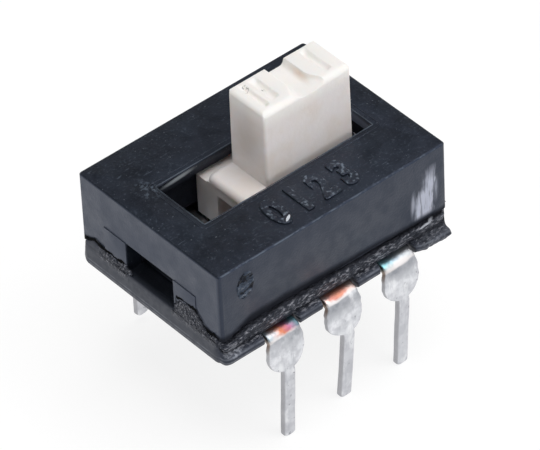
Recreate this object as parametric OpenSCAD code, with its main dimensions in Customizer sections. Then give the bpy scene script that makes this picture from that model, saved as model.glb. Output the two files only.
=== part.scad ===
// Miniature double-pole slide switch with two rows of board pins.
// X runs along the slide, Y across the two pin rows, Z up.
// The origin is the middle of the footprint, in the plane of the pin tips.
// The slider is drawn at its right-hand detent.

/* [Body] */
// Length of the housing, along the slide
body_l = 9.9; // [9.6:0.1:12]
// Width of the housing, across the pin rows
body_w = 7.2; // [6.8:0.1:7.6]
// Height of the housing, from its seam with the base to its top face
housing_h = 2.85; // [2.6:0.05:3.6]
// Height of the base, from its underside to the seam
base_h = 1; // [0.8:0.05:1.4]
// Radius of the housing's vertical corners
corner_r = 0.15; // [0.15:0.05:0.5]
// Radius of the base's vertical corners
foot_r = 0.2; // [0.2:0.05:0.5]
// Chamfer round the housing's top face
top_chamfer = 0.06; // [0.02:0.02:0.14]
// Chamfer round the base's underside
foot_chamfer = 0.08; // [0.04:0.02:0.18]
// How far the base stands out past each end of the housing
base_over = 0.1; // [0.05:0.05:0.15]
// How far the base's lower bead stands out past each long side of the housing
side_over = 0.1; // [0.05:0.05:0.2]
// How far the base's upper part is set back behind its lower bead
ledge_in = 0.1; // [0.04:0.02:0.2]
// Height of the base's lower bead
bead_h = 0.4; // [0.38:0.02:0.6]

/* [Walls] */
// Thickness of the housing's top wall
top_wall = 0.65; // [0.5:0.05:0.75]
// Thickness of the long side walls
side_wall = 0.65; // [0.5:0.05:0.7]
// Thickness of the end walls
end_wall = 0.7; // [0.5:0.05:0.8]
// Thickness of the two inner rails that guide the slider
rail_t = 0.5; // [0.3:0.05:0.6]
// Height of the base's locating step, inside the housing
step_h = 0.3; // [0.3:0.05:0.45]

/* [Openings] */
// Offset of the slot from the housing's middle
slot_x = 0.12; // [0:0.02:0.2]
// Length of the slot in the top wall
slot_l = 7.3; // [6.9:0.1:7.8]
// Width of the slot
slot_w = 2.5; // [2.3:0.1:2.8]
// Radius of the slot's corners
slot_r = 0.16; // [0.12:0.02:0.3]
// Chamfer round the slot's upper rim
slot_chamfer = 0.05; // [0.02:0.01:0.1]
// Lead-in chamfer under the slot's rim
slot_lead = 0.2; // [0.05:0.05:0.2]
// Width of the window in each end wall
window_w = 2.45; // [1.6:0.05:3]
// Height of the window above the seam
window_h = 1.25; // [0.8:0.05:1.4]
// Width of the flat panel round each window
panel_w = 4.7; // [4:0.1:5.6]
// How far that panel stands out of the end wall
panel_d = 0.03; // [0.02:0.01:0.05]
// Rise of the gap that the long walls' lower edges leave over the base
gap_rise = 0.42; // [0.2:0.02:0.6]
// Depth of that gap, into the wall
gap_depth = 0.15; // [0.1:0.01:0.25]

/* [Slider] */
// Travel from one detent to the other
travel = 1.85; // [1.4:0.05:2.2]
// Play left between the slider and its stop at either end
end_gap = 0.05; // [0.05:0.05:0.3]
// Length of the knob
knob_l = 3.8; // [3.3:0.1:3.9]
// Width of the knob
knob_w = 1.85; // [1.4:0.05:2]
// Height of the knob above the housing's top face
knob_h = 2.7; // [1.5:0.1:4]
// Radius of the knob's upper edges
knob_edge_r = 0.22; // [0.1:0.02:0.3]
// Radius of the knob's upright corners
knob_corner_r = 0.06; // [0.05:0.01:0.2]
// Width of the finger valley across the knob's top
valley_w = 1.4; // [1:0.1:1.6]
// Depth of the finger valley
valley_d = 0.34; // [0.1:0.02:0.4]
// Offset of the valley from the knob's middle
valley_x = 0.08; // [0:0.02:0.16]
// Width of each grip groove
groove_w = 0.28; // [0.14:0.02:0.32]
// Depth of each grip groove
groove_d = 0.12; // [0.04:0.01:0.14]
// Distance from the knob's end to the first groove's middle
groove_x = 0.47; // [0.4:0.01:0.5]
// Distance between the two left-hand grooves
groove_step = 0.43; // [0.36:0.01:0.45]
// Length of the low plate beside the knob
plate_l = 1.05; // [0.6:0.05:1.2]
// How far the plate lies below the housing's top face
plate_drop = 0.4; // [0.2:0.05:0.5]
// Radius of the plate's outer edge
plate_r = 0.2; // [0.05:0.05:0.2]
// How far the carriage reaches under the top wall, on each side
lip_w = 0.25; // [0.25:0.05:0.35]
// Running clearance between the slider and the housing
run_gap = 0.05; // [0.03:0.01:0.08]
// Gap between the carriage and the contact pads
floor_gap = 0.2; // [0.15:0.01:0.22]
// Width of the hollow in the carriage's left end
hollow_w = 0.85; // [0.3:0.05:0.9]
// Length of that hollow
hollow_l = 0.8; // [0.3:0.05:0.9]
// Thickness of the carriage above that hollow
hollow_roof = 0.3; // [0.1:0.05:0.4]

/* [Contacts] */
// Distance between the two dimples of a contact bridge
bridge_span = 1.9; // [1.8:0.05:2.1]
// Length of a contact bridge
bridge_l = 2.4; // [2.4:0.05:2.6]
// Width of a contact bridge
bridge_w = 0.7; // [0.5:0.05:0.8]
// Thickness of a contact bridge
bridge_t = 0.14; // [0.08:0.02:0.16]
// Height of its dimples
dimple_h = 0.12; // [0.06:0.02:0.12]
// Radius of its dimples
dimple_r = 0.28; // [0.2:0.02:0.3]
// Distance of each bridge from the slider's centre line
bridge_y = 0.77; // [0.7:0.01:0.8]
// How far each bridge lies to the left of its stroke's middle
bridge_shift = 0.12; // [0:0.02:0.2]
// Height of plastic left above each contact spring
pocket_roof = 0.55; // [0.4:0.05:0.7]
// Room for a bridge to lift as its dimples cross from pad to pad
bridge_lift = 0.15; // [0.1:0.05:0.25]
// Radius of the detent balls
ball_r = 0.34; // [0.3:0.02:0.4]
// How far each ball sinks into its notch
ball_sink = 0.06; // [0.03:0.01:0.06]
// Radius of the spring wire
wire_r = 0.05; // [0.03:0.01:0.06]
// Mean radius of the three coil springs
coil_r = 0.23; // [0.18:0.01:0.25]

/* [Terminals] */
// Distance between the pins of a row
pitch = 2.54; // [2.4:0.02:2.7]
// Distance between the two rows
row_space = 7.62; // [7.42:0.1:8.02]
// Reach of the pins below the base
pin_reach = 4.5; // [3:0.1:6]
// Thickness of the terminal strip
strip_t = 0.28; // [0.2:0.02:0.3]
// Width of the strip where it leaves the base
strip_w = 1.4; // [1:0.05:1.45]
// Diameter of the round shoulder
shoulder_d = 1.5; // [1.3:0.05:1.7]
// Depth of the shoulder's lowest point below the base
shoulder_reach = 1.47; // [1.3:0.01:1.8]
// Width of a pin
pin_w = 0.45; // [0.35:0.05:0.6]
// Chamfer at the corners of a pin's tip
pin_chamfer = 0.1; // [0.04:0.02:0.14]
// Inner radius of the bend
bend_r = 0.12; // [0.06:0.02:0.16]
// Height of the strip's upper face above the base's underside
strip_top = 0.3; // [0.3:0.01:0.34]
// Outward splay of the shoulders, in degrees
splay = 3; // [0:1:5]
// Inward lean of the front pins, left to right, in degrees
front_lean = [3, 7, 4]; // [0:1:8]
// Inward lean of the back pins, left to right, in degrees
back_lean = [0, 4, 4]; // [0:1:8]
// Gap between neighbouring contact pads
pad_gap = 0.44; // [0.3:0.02:0.6]
// Distance of each pad's inner edge from the centre line
pad_in = 0.45; // [0.3:0.05:0.6]
// Width of the leg that joins a pad to its strip
leg_w = 1.2; // [0.8:0.05:1.3]
// Clearance round a terminal in the base
seat_gap = 0.03; // [0.02:0.01:0.05]

/* [Hidden] */
$fn = 48;

slack = 0.01;                        // air left between pieces that only touch
cut = 1;                             // overshoot of a cutting solid past the face it opens
root = 0.2;                          // depth that one solid reaches into the solid it grows from
bead_chamfer = 0.05;                 // chamfer round the upper edge of the base's bead

// arch under the long walls, measured from the housing's ends
arch_left = 0.45;
arch_right = 0.4;
arch_rise_l = 0.85;
arch_flat_l = 1.5;
arch_foot = 0.08;
arch_toe = 0.02;

// levels, upwards from the pin tips
base_z = pin_reach;
seam_z = base_z + base_h;
floor_z = seam_z + step_h;
top_z = seam_z + housing_h;
ceiling_z = top_z - top_wall;
plate_z = top_z - plate_drop;

// cavity of the housing
cavity_l = body_l - 2 * end_wall;
cavity_w = body_w - 2 * side_wall;

// slider, at its right-hand detent
plate_x = slot_x - slot_l / 2 + end_gap + travel;
knob_x = plate_x + plate_l;
carriage_w = slot_w + 2 * lip_w;
carriage_bottom = floor_z + floor_gap;
carriage_top = ceiling_z - run_gap;
carriage_end = knob_x + knob_l;
arm_end = cavity_l / 2 - end_gap;
arm_w = lip_w - 2 * slack;
channel_w = carriage_w + 2 * run_gap;
pocket_l = bridge_l + 2 * run_gap;
pocket_w = bridge_w + 2 * run_gap;
bridge_x = travel / 2 - bridge_shift;
bridge_z = floor_z + slack + dimple_h;
bridge_top = bridge_z + bridge_t;
spring_foot = bridge_top + slack;
spring_top = carriage_top - pocket_roof;
spring_bore_r = coil_r + wire_r + run_gap;

// detent: a cross bore with a ball at each end
thin_wall = 0.17;
ball_gap = 0.04;
ball_bore_r = ball_r + ball_gap;
ball_x = bridge_x + pocket_l / 2 + thin_wall + ball_bore_r;
ball_z = (carriage_bottom + carriage_top) / 2;
ball_y = channel_w / 2 + ball_sink - ball_r;
notch_d = ball_y + ball_r * sqrt(2) + slack - channel_w / 2;
rail_bottom = ball_z - ball_bore_r - run_gap;

// terminals
row_bias = 0.05;                     // the bends lie this far outside the pin rows
pin_root = 0.1;                      // length of a pin that lies inside its shoulder
pad_w = pitch - pad_gap;
bend_out = bend_r + strip_t;
bend_y = row_space / 2 + row_bias - bend_r - strip_t / 2;
bend_z = base_z + strip_top - bend_out;
step_w = cavity_w - 2 * run_gap;
leg_out = step_w / 2 - thin_wall;
strip_bottom = base_z + strip_top - strip_t;
neck_z = base_z - shoulder_reach;

function mirrored(points) = [for (i = [len(points) - 1:-1:0]) [-points[i][0], points[i][1]]];

// Right-hand side of an upright section; a negative chamfer flares outwards.
function section_side(half, h, top, bottom) = concat(
    [[half - bottom, 0]],
    bottom == 0 ? [] : [[half, abs(bottom)]],
    top == 0 ? [] : [[half, h - abs(top)]],
    [[half - top, h]]
);

module section(half, h, top, bottom) {
    side = section_side(half, h, top, bottom);
    polygon(concat(side, mirrored(side)));
}

module round_rect(l, w, r) {
    square([l - 2 * r, w], center = true);
    square([l, w - 2 * r], center = true);
    for (x = [-1, 1], y = [-1, 1])
        translate([x * (l / 2 - r), y * (w / 2 - r)]) circle(r);
}

// Block with round upright corners and a chamfer round its top and its foot.
module bevel_block(l, w, h, r, top = 0, bottom = 0) {
    rotate([90, 0, 0]) linear_extrude(w - 2 * r, center = true) section(l / 2, h, top, bottom);
    rotate([90, 0, 90]) linear_extrude(l - 2 * r, center = true) section(w / 2, h, top, bottom);
    for (x = [-1, 1], y = [-1, 1])
        translate([x * (l / 2 - r), y * (w / 2 - r), 0])
            rotate_extrude() polygon(concat([[0, 0]], section_side(r, h, top, bottom), [[0, h]]));
}

module box_between(low, high) {
    translate(low) cube(high - low);
}

// Coil spring standing on z = 0, with closed ends.
module coil(length, turns) {
    steps = 14 * turns;
    sides = 6;
    rise = (length - 2 * wire_r) / steps;
    points = [
        for (i = [0:steps], j = [0:sides - 1])
            let (turn = 360 * turns * i / steps, around = 360 * j / sides,
                 reach = coil_r + wire_r * cos(around))
                [reach * cos(turn), reach * sin(turn), wire_r + rise * i + wire_r * sin(around)]
    ];
    skin = [
        for (i = [0:steps - 1], j = [0:sides - 1])
            let (a = i * sides + j, b = i * sides + (j + 1) % sides)
                each [[a, b, b + sides], [a, b + sides, a + sides]]
    ];
    start = [for (j = [sides - 1:-1:0]) j];
    finish = [for (j = [0:sides - 1]) steps * sides + j];
    polyhedron(points, concat(skin, [start, finish]));
}

// Notched rails along the ceiling, one on each side of the slider.
module rail(side) {
    inner = channel_w / 2;
    difference() {
        box_between([-cavity_l / 2, inner, rail_bottom], [cavity_l / 2, inner + rail_t, ceiling_z]);
        for (x = [ball_x, ball_x - travel])
            translate([x, inner, rail_bottom])
                rotate([0, 0, 45])
                    cube([notch_d * sqrt(2), notch_d * sqrt(2), 2 * (ceiling_z - rail_bottom)], center = true);
    }
}

module windows() {
    translate([0, 0, seam_z])
        for (side = [-1, 1])
            translate([side * body_l / 2, 0, 0])
                cube([2 * (end_wall + cut), window_w, 2 * window_h], center = true);
}

// Flat panels that stand a little out of the end walls.
module panels() {
    half = body_l / 2 + panel_d;
    box_between([-half, -panel_w / 2, seam_z], [half, panel_w / 2, seam_z + window_h]);
}

// Low arch under the lower edge of each long wall, highest near the left end.
module skirt_gap() {
    left = arch_left - body_l / 2;
    right = body_l / 2 - arch_right;
    for (side = [0, 1])
        mirror([0, side, 0])
            translate([0, -body_w / 2, seam_z])
                rotate([90, 0, 0])
                    linear_extrude(2 * gap_depth, center = true)
                        polygon([
                            [left, -cut], [left, arch_foot], [left + arch_rise_l, gap_rise],
                            [left + arch_rise_l + arch_flat_l, gap_rise], [right, arch_toe], [right, -cut]
                        ]);
}

module housing() {
    color("#2f333a")
        difference() {
            union() {
                translate([0, 0, seam_z]) bevel_block(body_l, body_w, housing_h, corner_r, top_chamfer);
                panels();
            }
            difference() {
                box_between([-cavity_l / 2, -cavity_w / 2, seam_z - cut], [cavity_l / 2, cavity_w / 2, ceiling_z]);
                for (side = [0, 1]) mirror([0, side, 0]) rail();
            }
            translate([slot_x, 0, ceiling_z])
                bevel_block(slot_l, slot_w, top_wall, slot_r, -slot_chamfer);
            translate([slot_x, 0, ceiling_z])
                bevel_block(slot_l, slot_w, 2 * slot_lead, slot_r, 0, -slot_lead);
            windows();
            skirt_gap();
        }
}

// Space that one terminal takes up in the base.
module terminal_seat() {
    foot = strip_w / 2 + seat_gap;
    leg = leg_w / 2 + seat_gap;
    pad = pad_w / 2 + seat_gap;
    box_between([-foot, leg_out - strip_t - seat_gap, base_z - cut],
                [foot, body_w / 2 + cut, base_z + strip_top + seat_gap]);
    box_between([-leg, leg_out - strip_t - seat_gap, base_z - cut], [leg, leg_out + seat_gap, floor_z + cut]);
    box_between([-pad, pad_in - seat_gap, floor_z - strip_t], [pad, leg_out + seat_gap, floor_z + cut]);
}

module base() {
    color("#363a40")
        difference() {
            union() {
                translate([0, 0, base_z])
                    bevel_block(body_l + 2 * base_over, body_w + 2 * side_over, bead_h, foot_r,
                                bead_chamfer, foot_chamfer);
                translate([0, 0, base_z + bead_h / 2])
                    linear_extrude(base_h - bead_h / 2)
                        round_rect(body_l + 2 * base_over, body_w - 2 * ledge_in, foot_r);
                translate([0, 0, seam_z])
                    linear_extrude(step_h)
                        square([cavity_l - 2 * run_gap, step_w], center = true);
            }
            for (side = [0, 1], column = [-1, 0, 1])
                mirror([0, side, 0]) translate([column * pitch, 0, 0]) terminal_seat();
        }
}

// Bent strip, drawn for the back row; lean is the pin's inward lean.
module terminal_strip(lean) {
    box_between([-pad_w / 2, pad_in, floor_z - strip_t], [pad_w / 2, leg_out, floor_z]);
    box_between([-leg_w / 2, leg_out - strip_t, strip_bottom], [leg_w / 2, leg_out, floor_z]);
    box_between([-strip_w / 2, leg_out - strip_t, strip_bottom], [strip_w / 2, bend_y, base_z + strip_top]);
    translate([0, bend_y, bend_z])
        rotate([90, 0, 90])
            rotate([0, 0, splay])
                rotate_extrude(angle = 90 - splay)
                    translate([bend_r, -strip_w / 2]) square([strip_t, strip_w]);
    translate([0, bend_y, bend_z]) rotate([splay, 0, 0]) shoulder();
    blade_y = bend_y + (bend_r + strip_t / 2) * cos(splay) + (bend_z - neck_z) * sin(splay);
    intersection() {
        translate([0, blade_y, neck_z]) rotate([-lean, 0, 0]) pin();
        box_between([-pitch / 2, 0, 0], [pitch / 2, body_w, base_z]);
    }
}

module shoulder() {
    drop = bend_z - neck_z - shoulder_d / 2;
    translate([0, bend_r, 0])
        rotate([-90, 0, 0])
            linear_extrude(strip_t) {
                translate([-strip_w / 2, 0]) square([strip_w, drop]);
                translate([0, drop]) circle(d = shoulder_d);
            }
}

// Pin below the shoulder; it starts inside the shoulder and runs past the tip plane.
module pin() {
    length = neck_z / cos(8);
    half = pin_w / 2;
    translate([0, -strip_t / 2, 0])
        rotate([-90, 0, 0])
            linear_extrude(strip_t)
                polygon([
                    [-half, -pin_root], [half, -pin_root], [half, neck_z - pin_chamfer],
                    [half - pin_chamfer, neck_z], [half - pin_chamfer, length],
                    [pin_chamfer - half, length], [pin_chamfer - half, neck_z], [-half, neck_z - pin_chamfer]
                ]);
}

// row is 1 at the back and -1 at the front; column runs from -1 at the left to 1.
module terminal(row, column) {
    lean = row > 0 ? back_lean[column + 1] : front_lean[column + 1];
    color("#c8cace")
        translate([column * pitch, 0, 0])
            mirror([0, row > 0 ? 0 : 1, 0])
                terminal_strip(lean);
}

// Outline of the knob from the side, with its valley and grip grooves.
module knob_side() {
    height = top_z + knob_h - carriage_top;
    valley_r = valley_w * valley_w / (8 * valley_d) + valley_d / 2;
    groove_r = groove_w * groove_w / (8 * groove_d) + groove_d / 2;
    difference() {
        union() {
            square([knob_l, height - knob_edge_r]);
            translate([knob_edge_r, 0]) square([knob_l - 2 * knob_edge_r, height]);
            for (x = [knob_edge_r, knob_l - knob_edge_r])
                translate([x, height - knob_edge_r]) circle(knob_edge_r);
        }
        translate([knob_l / 2 + valley_x, height - valley_d + valley_r]) circle(valley_r);
        for (x = [groove_x, groove_x + groove_step, knob_l - groove_x])
            translate([x, height - groove_d + groove_r]) circle(groove_r);
    }
}

// Outline of the knob from its end.
module knob_end() {
    height = top_z + knob_h - carriage_top;
    translate([-knob_w / 2, 0]) square([knob_w, height - knob_edge_r]);
    translate([knob_edge_r - knob_w / 2, 0]) square([knob_w - 2 * knob_edge_r, height]);
    for (y = [-1, 1])
        translate([y * (knob_w / 2 - knob_edge_r), height - knob_edge_r]) circle(knob_edge_r);
}

module knob() {
    height = top_z + knob_h - carriage_top;
    translate([knob_x, 0, carriage_top])
        intersection() {
            translate([0, knob_w, 0]) rotate([90, 0, 0]) linear_extrude(2 * knob_w) knob_side();
            translate([-cut, 0, 0]) rotate([90, 0, 90]) linear_extrude(knob_l + 2 * cut) knob_end();
            translate([knob_l / 2, 0, -cut])
                linear_extrude(height + 2 * cut) round_rect(knob_l, knob_w, knob_corner_r);
        }
}

// Low plate at the knob's left, round along its outer edge.
module plate() {
    rise = plate_z - carriage_top;
    reach = knob_x + knob_l / 2 - plate_x;
    translate([plate_x, 0, carriage_top])
        rotate([90, 0, 0])
            linear_extrude(knob_w, center = true) {
                translate([0, -root]) square([reach, root + rise - plate_r]);
                translate([plate_r, -root]) square([reach - plate_r, root + rise]);
                translate([plate_r, rise - plate_r]) circle(plate_r);
            }
}

// Carriage that runs under the top wall; its two arms stop against the right-hand end wall.
module carriage() {
    half = carriage_w / 2;
    box_between([plate_x, -half, carriage_bottom], [carriage_end, half, carriage_top]);
    for (side = [0, 1])
        mirror([0, side, 0])
            box_between([carriage_end - root, half - arm_w, carriage_bottom], [arm_end, half, carriage_top]);
}

// Seat of a contact bridge, with the bore of its spring above it.
module contact_pocket(y) {
    box_between([bridge_x - pocket_l / 2, y - pocket_w / 2, carriage_bottom - cut],
                [bridge_x + pocket_l / 2, y + pocket_w / 2, bridge_top + bridge_lift]);
    translate([bridge_x, y, bridge_top]) cylinder(r = spring_bore_r, h = spring_top - bridge_top);
}

module slider() {
    color("#f1ebe3")
        difference() {
            union() {
                knob();
                plate();
                carriage();
            }
            box_between([plate_x - cut, -hollow_w / 2, carriage_bottom - cut],
                        [plate_x + hollow_l, hollow_w / 2, carriage_top - hollow_roof]);
            for (y = [-bridge_y, bridge_y])
                contact_pocket(y);
            translate([ball_x, 0, ball_z])
                rotate([90, 0, 0]) cylinder(r = ball_bore_r, h = carriage_w + 2 * cut, center = true);
        }
}

module contact_bridge(side) {
    color("#c9a66b")
        translate([bridge_x, side * bridge_y, bridge_z])
            difference() {
                union() {
                    box_between([-bridge_l / 2, -bridge_w / 2, 0], [bridge_l / 2, bridge_w / 2, bridge_t]);
                    for (x = [-bridge_span / 2, bridge_span / 2])
                        translate([x, 0, dimple_r - dimple_h]) sphere(dimple_r);
                }
                box_between([-bridge_l, -bridge_w, bridge_t], [bridge_l, bridge_w, bridge_t + cut]);
            }
}

module contact_spring(side) {
    color("#b9bcc2")
        translate([bridge_x, side * bridge_y, spring_foot]) coil(spring_top - slack - spring_foot, 4);
}

module detent_spring() {
    // the end turns rest against the balls
    reach = ball_y - sqrt((ball_r + wire_r) * (ball_r + wire_r) - coil_r * coil_r) + wire_r - 2 * slack;
    color("#b9bcc2")
        translate([ball_x, reach, ball_z]) rotate([90, 0, 0]) coil(2 * reach, 7);
}

module detent_ball(side) {
    color("#d8dade") translate([ball_x, side * ball_y, ball_z]) sphere(ball_r);
}

housing();
base();
terminal(-1, -1);  // terminal_front_left
terminal(-1, 0);  // terminal_front_centre
terminal(-1, 1);  // terminal_front_right
terminal(1, -1);  // terminal_back_left
terminal(1, 0);  // terminal_back_centre
terminal(1, 1);  // terminal_back_right
slider();
contact_bridge(-1);  // contact_bridge_front
contact_bridge(1);  // contact_bridge_back
contact_spring(-1);  // contact_spring_front
contact_spring(1);  // contact_spring_back
detent_spring();
detent_ball(-1);  // detent_ball_front
detent_ball(1);  // detent_ball_back
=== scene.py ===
"""Miniature slide switch: black moulded housing, cream knob and six tinned pins, in a plain white studio."""

import logging
import math
from dataclasses import dataclass, field
from enum import Enum
from functools import partial
from typing import Callable

import bmesh
import bpy
import numpy as np
from mathutils import Matrix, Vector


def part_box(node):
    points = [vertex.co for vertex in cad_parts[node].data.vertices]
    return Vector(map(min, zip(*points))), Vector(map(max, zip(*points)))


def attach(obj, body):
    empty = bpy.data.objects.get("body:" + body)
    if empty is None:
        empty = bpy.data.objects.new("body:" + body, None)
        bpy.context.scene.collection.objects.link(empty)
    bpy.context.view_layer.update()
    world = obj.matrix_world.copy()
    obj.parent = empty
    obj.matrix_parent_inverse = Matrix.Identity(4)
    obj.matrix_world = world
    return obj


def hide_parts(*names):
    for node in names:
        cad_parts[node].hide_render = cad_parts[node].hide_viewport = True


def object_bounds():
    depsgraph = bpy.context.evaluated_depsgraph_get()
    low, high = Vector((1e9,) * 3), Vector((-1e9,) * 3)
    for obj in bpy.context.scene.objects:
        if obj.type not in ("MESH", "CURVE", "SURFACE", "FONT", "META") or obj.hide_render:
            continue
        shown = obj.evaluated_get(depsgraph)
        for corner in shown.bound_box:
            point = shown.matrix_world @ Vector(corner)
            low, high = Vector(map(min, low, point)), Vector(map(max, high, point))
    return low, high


log = logging.getLogger("slide_switch")
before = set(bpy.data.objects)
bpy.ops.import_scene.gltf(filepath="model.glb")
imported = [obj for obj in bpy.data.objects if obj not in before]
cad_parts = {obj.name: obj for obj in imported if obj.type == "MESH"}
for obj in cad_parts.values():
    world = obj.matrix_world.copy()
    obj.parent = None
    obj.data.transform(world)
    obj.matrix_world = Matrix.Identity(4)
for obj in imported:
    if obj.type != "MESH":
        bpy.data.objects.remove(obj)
cad_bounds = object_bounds()

MM = 0.001
Tree = bpy.types.NodeTree
Socket = bpy.types.NodeSocket
Object = bpy.types.Object
Material = bpy.types.Material


class Row(Enum):
    """The two pin rows, by the side of the body they stand on."""
    FRONT = -1
    BACK = 1


class Column(Enum):
    """The three pins of a row, along the slide."""
    LEFT = -1
    CENTRE = 0
    RIGHT = 1


class Face(Enum):
    """A face that carries a mark, as the directions of its width, its height and its outward side."""
    FRONT = ((1, 0, 0), (0, 0, 1), (0, -1, 0))
    TOP = ((1, 0, 0), (0, 1, 0), (0, 0, 1))


def corners_mm(node: str) -> tuple[np.ndarray, np.ndarray]:
    """A CAD node's lowest and highest corners, in millimetres."""
    low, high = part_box(node)
    return np.array(low) / MM, np.array(high) / MM


# ---------------------------------------------------------------- colours and nodes

def linear(colour: str) -> tuple[float, float, float, float]:
    """Turn an sRGB hex colour into the linear values that a shader takes.

    Args:
        colour: Six hex digits after a hash.

    Returns:
        Linear red, green and blue, and an alpha of 1.
    """
    parts = [int(colour[i:i + 2], 16) / 255 for i in (1, 3, 5)]
    red, green, blue = [c / 12.92 if c <= 0.04045 else ((c + 0.055) / 1.055) ** 2.4 for c in parts]
    return red, green, blue, 1.0


def add(tree: Tree, kind: str, *values, inputs: dict | None = None, out: int | str = 0, stops: tuple = (),
        **settings) -> Socket | None:
    """Add one node with its settings, input values and links.

    A value is a number, a vector, an sRGB hex colour, or the output socket that feeds the input.

    Args:
        tree: Tree that gets the node.
        kind: Blender's node type, less its first word ShaderNode.
        values: Values of the first inputs, in order.
        inputs: Name or number of each further input, with its value.
        out: Name or number of the output that is wanted.
        stops: Position and sRGB hex colour of each stop of a colour ramp, in rising order.
        settings: Attributes of the node.

    Returns:
        The wanted output, or nothing where the node ends a tree.
    """
    made = tree.nodes.new(f"ShaderNode{kind}")
    for name, value in settings.items():
        setattr(made, name, value)
    for key, value in [*enumerate(values), *(inputs or {}).items()]:
        if isinstance(value, Socket):
            tree.links.new(value, made.inputs[key])
        else:
            made.inputs[key].default_value = linear(value) if isinstance(value, str) else value
    for number, (position, colour) in enumerate(stops):
        elements = made.color_ramp.elements
        element = elements[number] if number < len(elements) else elements.new(position)
        element.position = position
        element.color = linear(colour)
    return made.outputs[out] if made.outputs else None


def bare_tree(owner: Material | bpy.types.World) -> Tree:
    """Empty node tree of a material or a world."""
    owner.use_nodes = True
    owner.node_tree.nodes.clear()
    return owner.node_tree


# ---------------------------------------------------------------- finishes

@dataclass(frozen=True)
class Arch:
    """Lower edge of the long walls: it climbs from the left end, runs level, and falls to the right end."""
    left: float
    right: float
    foot: float = 0.08
    rise_l: float = 0.85
    flat_l: float = 1.5
    high: float = 0.42
    toe: float = 0.02

    @classmethod
    def from_housing(cls) -> "Arch":
        """Arch between 0.48 mm from the housing's left end and 0.43 mm from its right end."""
        low, high = corners_mm("housing")
        return cls(left=low[0] + 0.48, right=high[0] - 0.43)

    def height(self, x: np.ndarray) -> np.ndarray:
        """Height above the seam: the lower of a straight climb and a straight fall.

        Args:
            x: Places along the slide.

        Returns:
            The height at each place.
        """
        level = self.left + self.rise_l
        climb = np.interp(x, [self.left, level], [self.foot, self.high])
        fall = np.interp(x, [level + self.flat_l, self.right], [self.high, self.toe])
        return np.minimum(climb, fall)


@dataclass
class Finish:
    """What every finish shares: its name, its first and last nodes, and the patterns that finishes are made of."""
    name: str
    # while the finish is made: what adds a node to its tree, and the Object coordinates in millimetres
    add: Callable = field(init=False)
    at: Socket = field(init=False)
    axes: tuple[Socket, Socket, Socket] = field(init=False)

    def make(self) -> Material:
        """Build the material.

        Returns:
            A material whose one Principled shader takes what the finish says of its surface.
        """
        material = bpy.data.materials.new(self.name)
        self.add = partial(add, bare_tree(material))
        metres = self.add("TexCoord", out="Object")
        self.at = self.add("VectorMath", metres, inputs={"Scale": 1 / MM}, operation="SCALE")
        self.axes = tuple(self.add("SeparateXYZ", self.at).node.outputs)
        self.add("OutputMaterial", self.add("BsdfPrincipled", inputs=self.surface()))
        return material

    def patches(self, size: float, low: float, high: float, to: tuple = (0.0, 1.0), detail: float = 3.0,
                stretch: tuple = (1, 1, 1), turn: tuple = (0, 0, 0)) -> Socket:
        """Soft-edged patches: noise, cut smoothly between two of its levels.

        Args:
            size: Size of a patch, in millimetres.
            low: Noise level at which a patch begins.
            high: Noise level at which it is full.
            to: Values outside and inside a patch.
            detail: Octaves of the noise.
            stretch: Below 1, patches are longer along that axis.
            turn: Rotation of the pattern.

        Returns:
            The patches' value.
        """
        placed = self.add("Mapping", self.at, inputs={"Scale": stretch, "Rotation": turn})
        cloud = self.add("TexNoise", placed, inputs={"Scale": 1 / size, "Detail": detail, "Roughness": 0.55})
        return self.add("MapRange", cloud, low, high, *to, interpolation_type="SMOOTHSTEP")

    def oval(self, centre: tuple, radii: tuple, turn: float = 0.0, soft: float = 0.5) -> Socket:
        """Spot that is full in its middle and fades to nothing at an ellipsoid.

        Args:
            centre: Middle of the spot.
            radii: Its half sizes.
            turn: Its rotation about the axis across the rows.
            soft: Share of the radius over which it fades.

        Returns:
            1 inside, 0 outside.
        """
        placed = self.add("Mapping", self.at, centre, (0, turn, 0), radii, vector_type="TEXTURE")
        far = self.add("VectorMath", placed, out="Value", operation="LENGTH")
        return self.add("MapRange", far, 1.0, 1.0 - soft, interpolation_type="SMOOTHSTEP")

    def coats(self, colour: Socket | str, *coats: tuple[Socket, Socket | str]) -> Socket:
        """Lay coats over a first colour, one after the other, each as far as its mask says.

        Args:
            colour: First colour.
            coats: Mask and colour of each coat.

        Returns:
            The colour that shows.
        """
        for mask, coat in coats:
            colour = self.add("Mix", mask, inputs={6: colour, 7: coat}, out=2, data_type="RGBA")
        return colour


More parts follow.
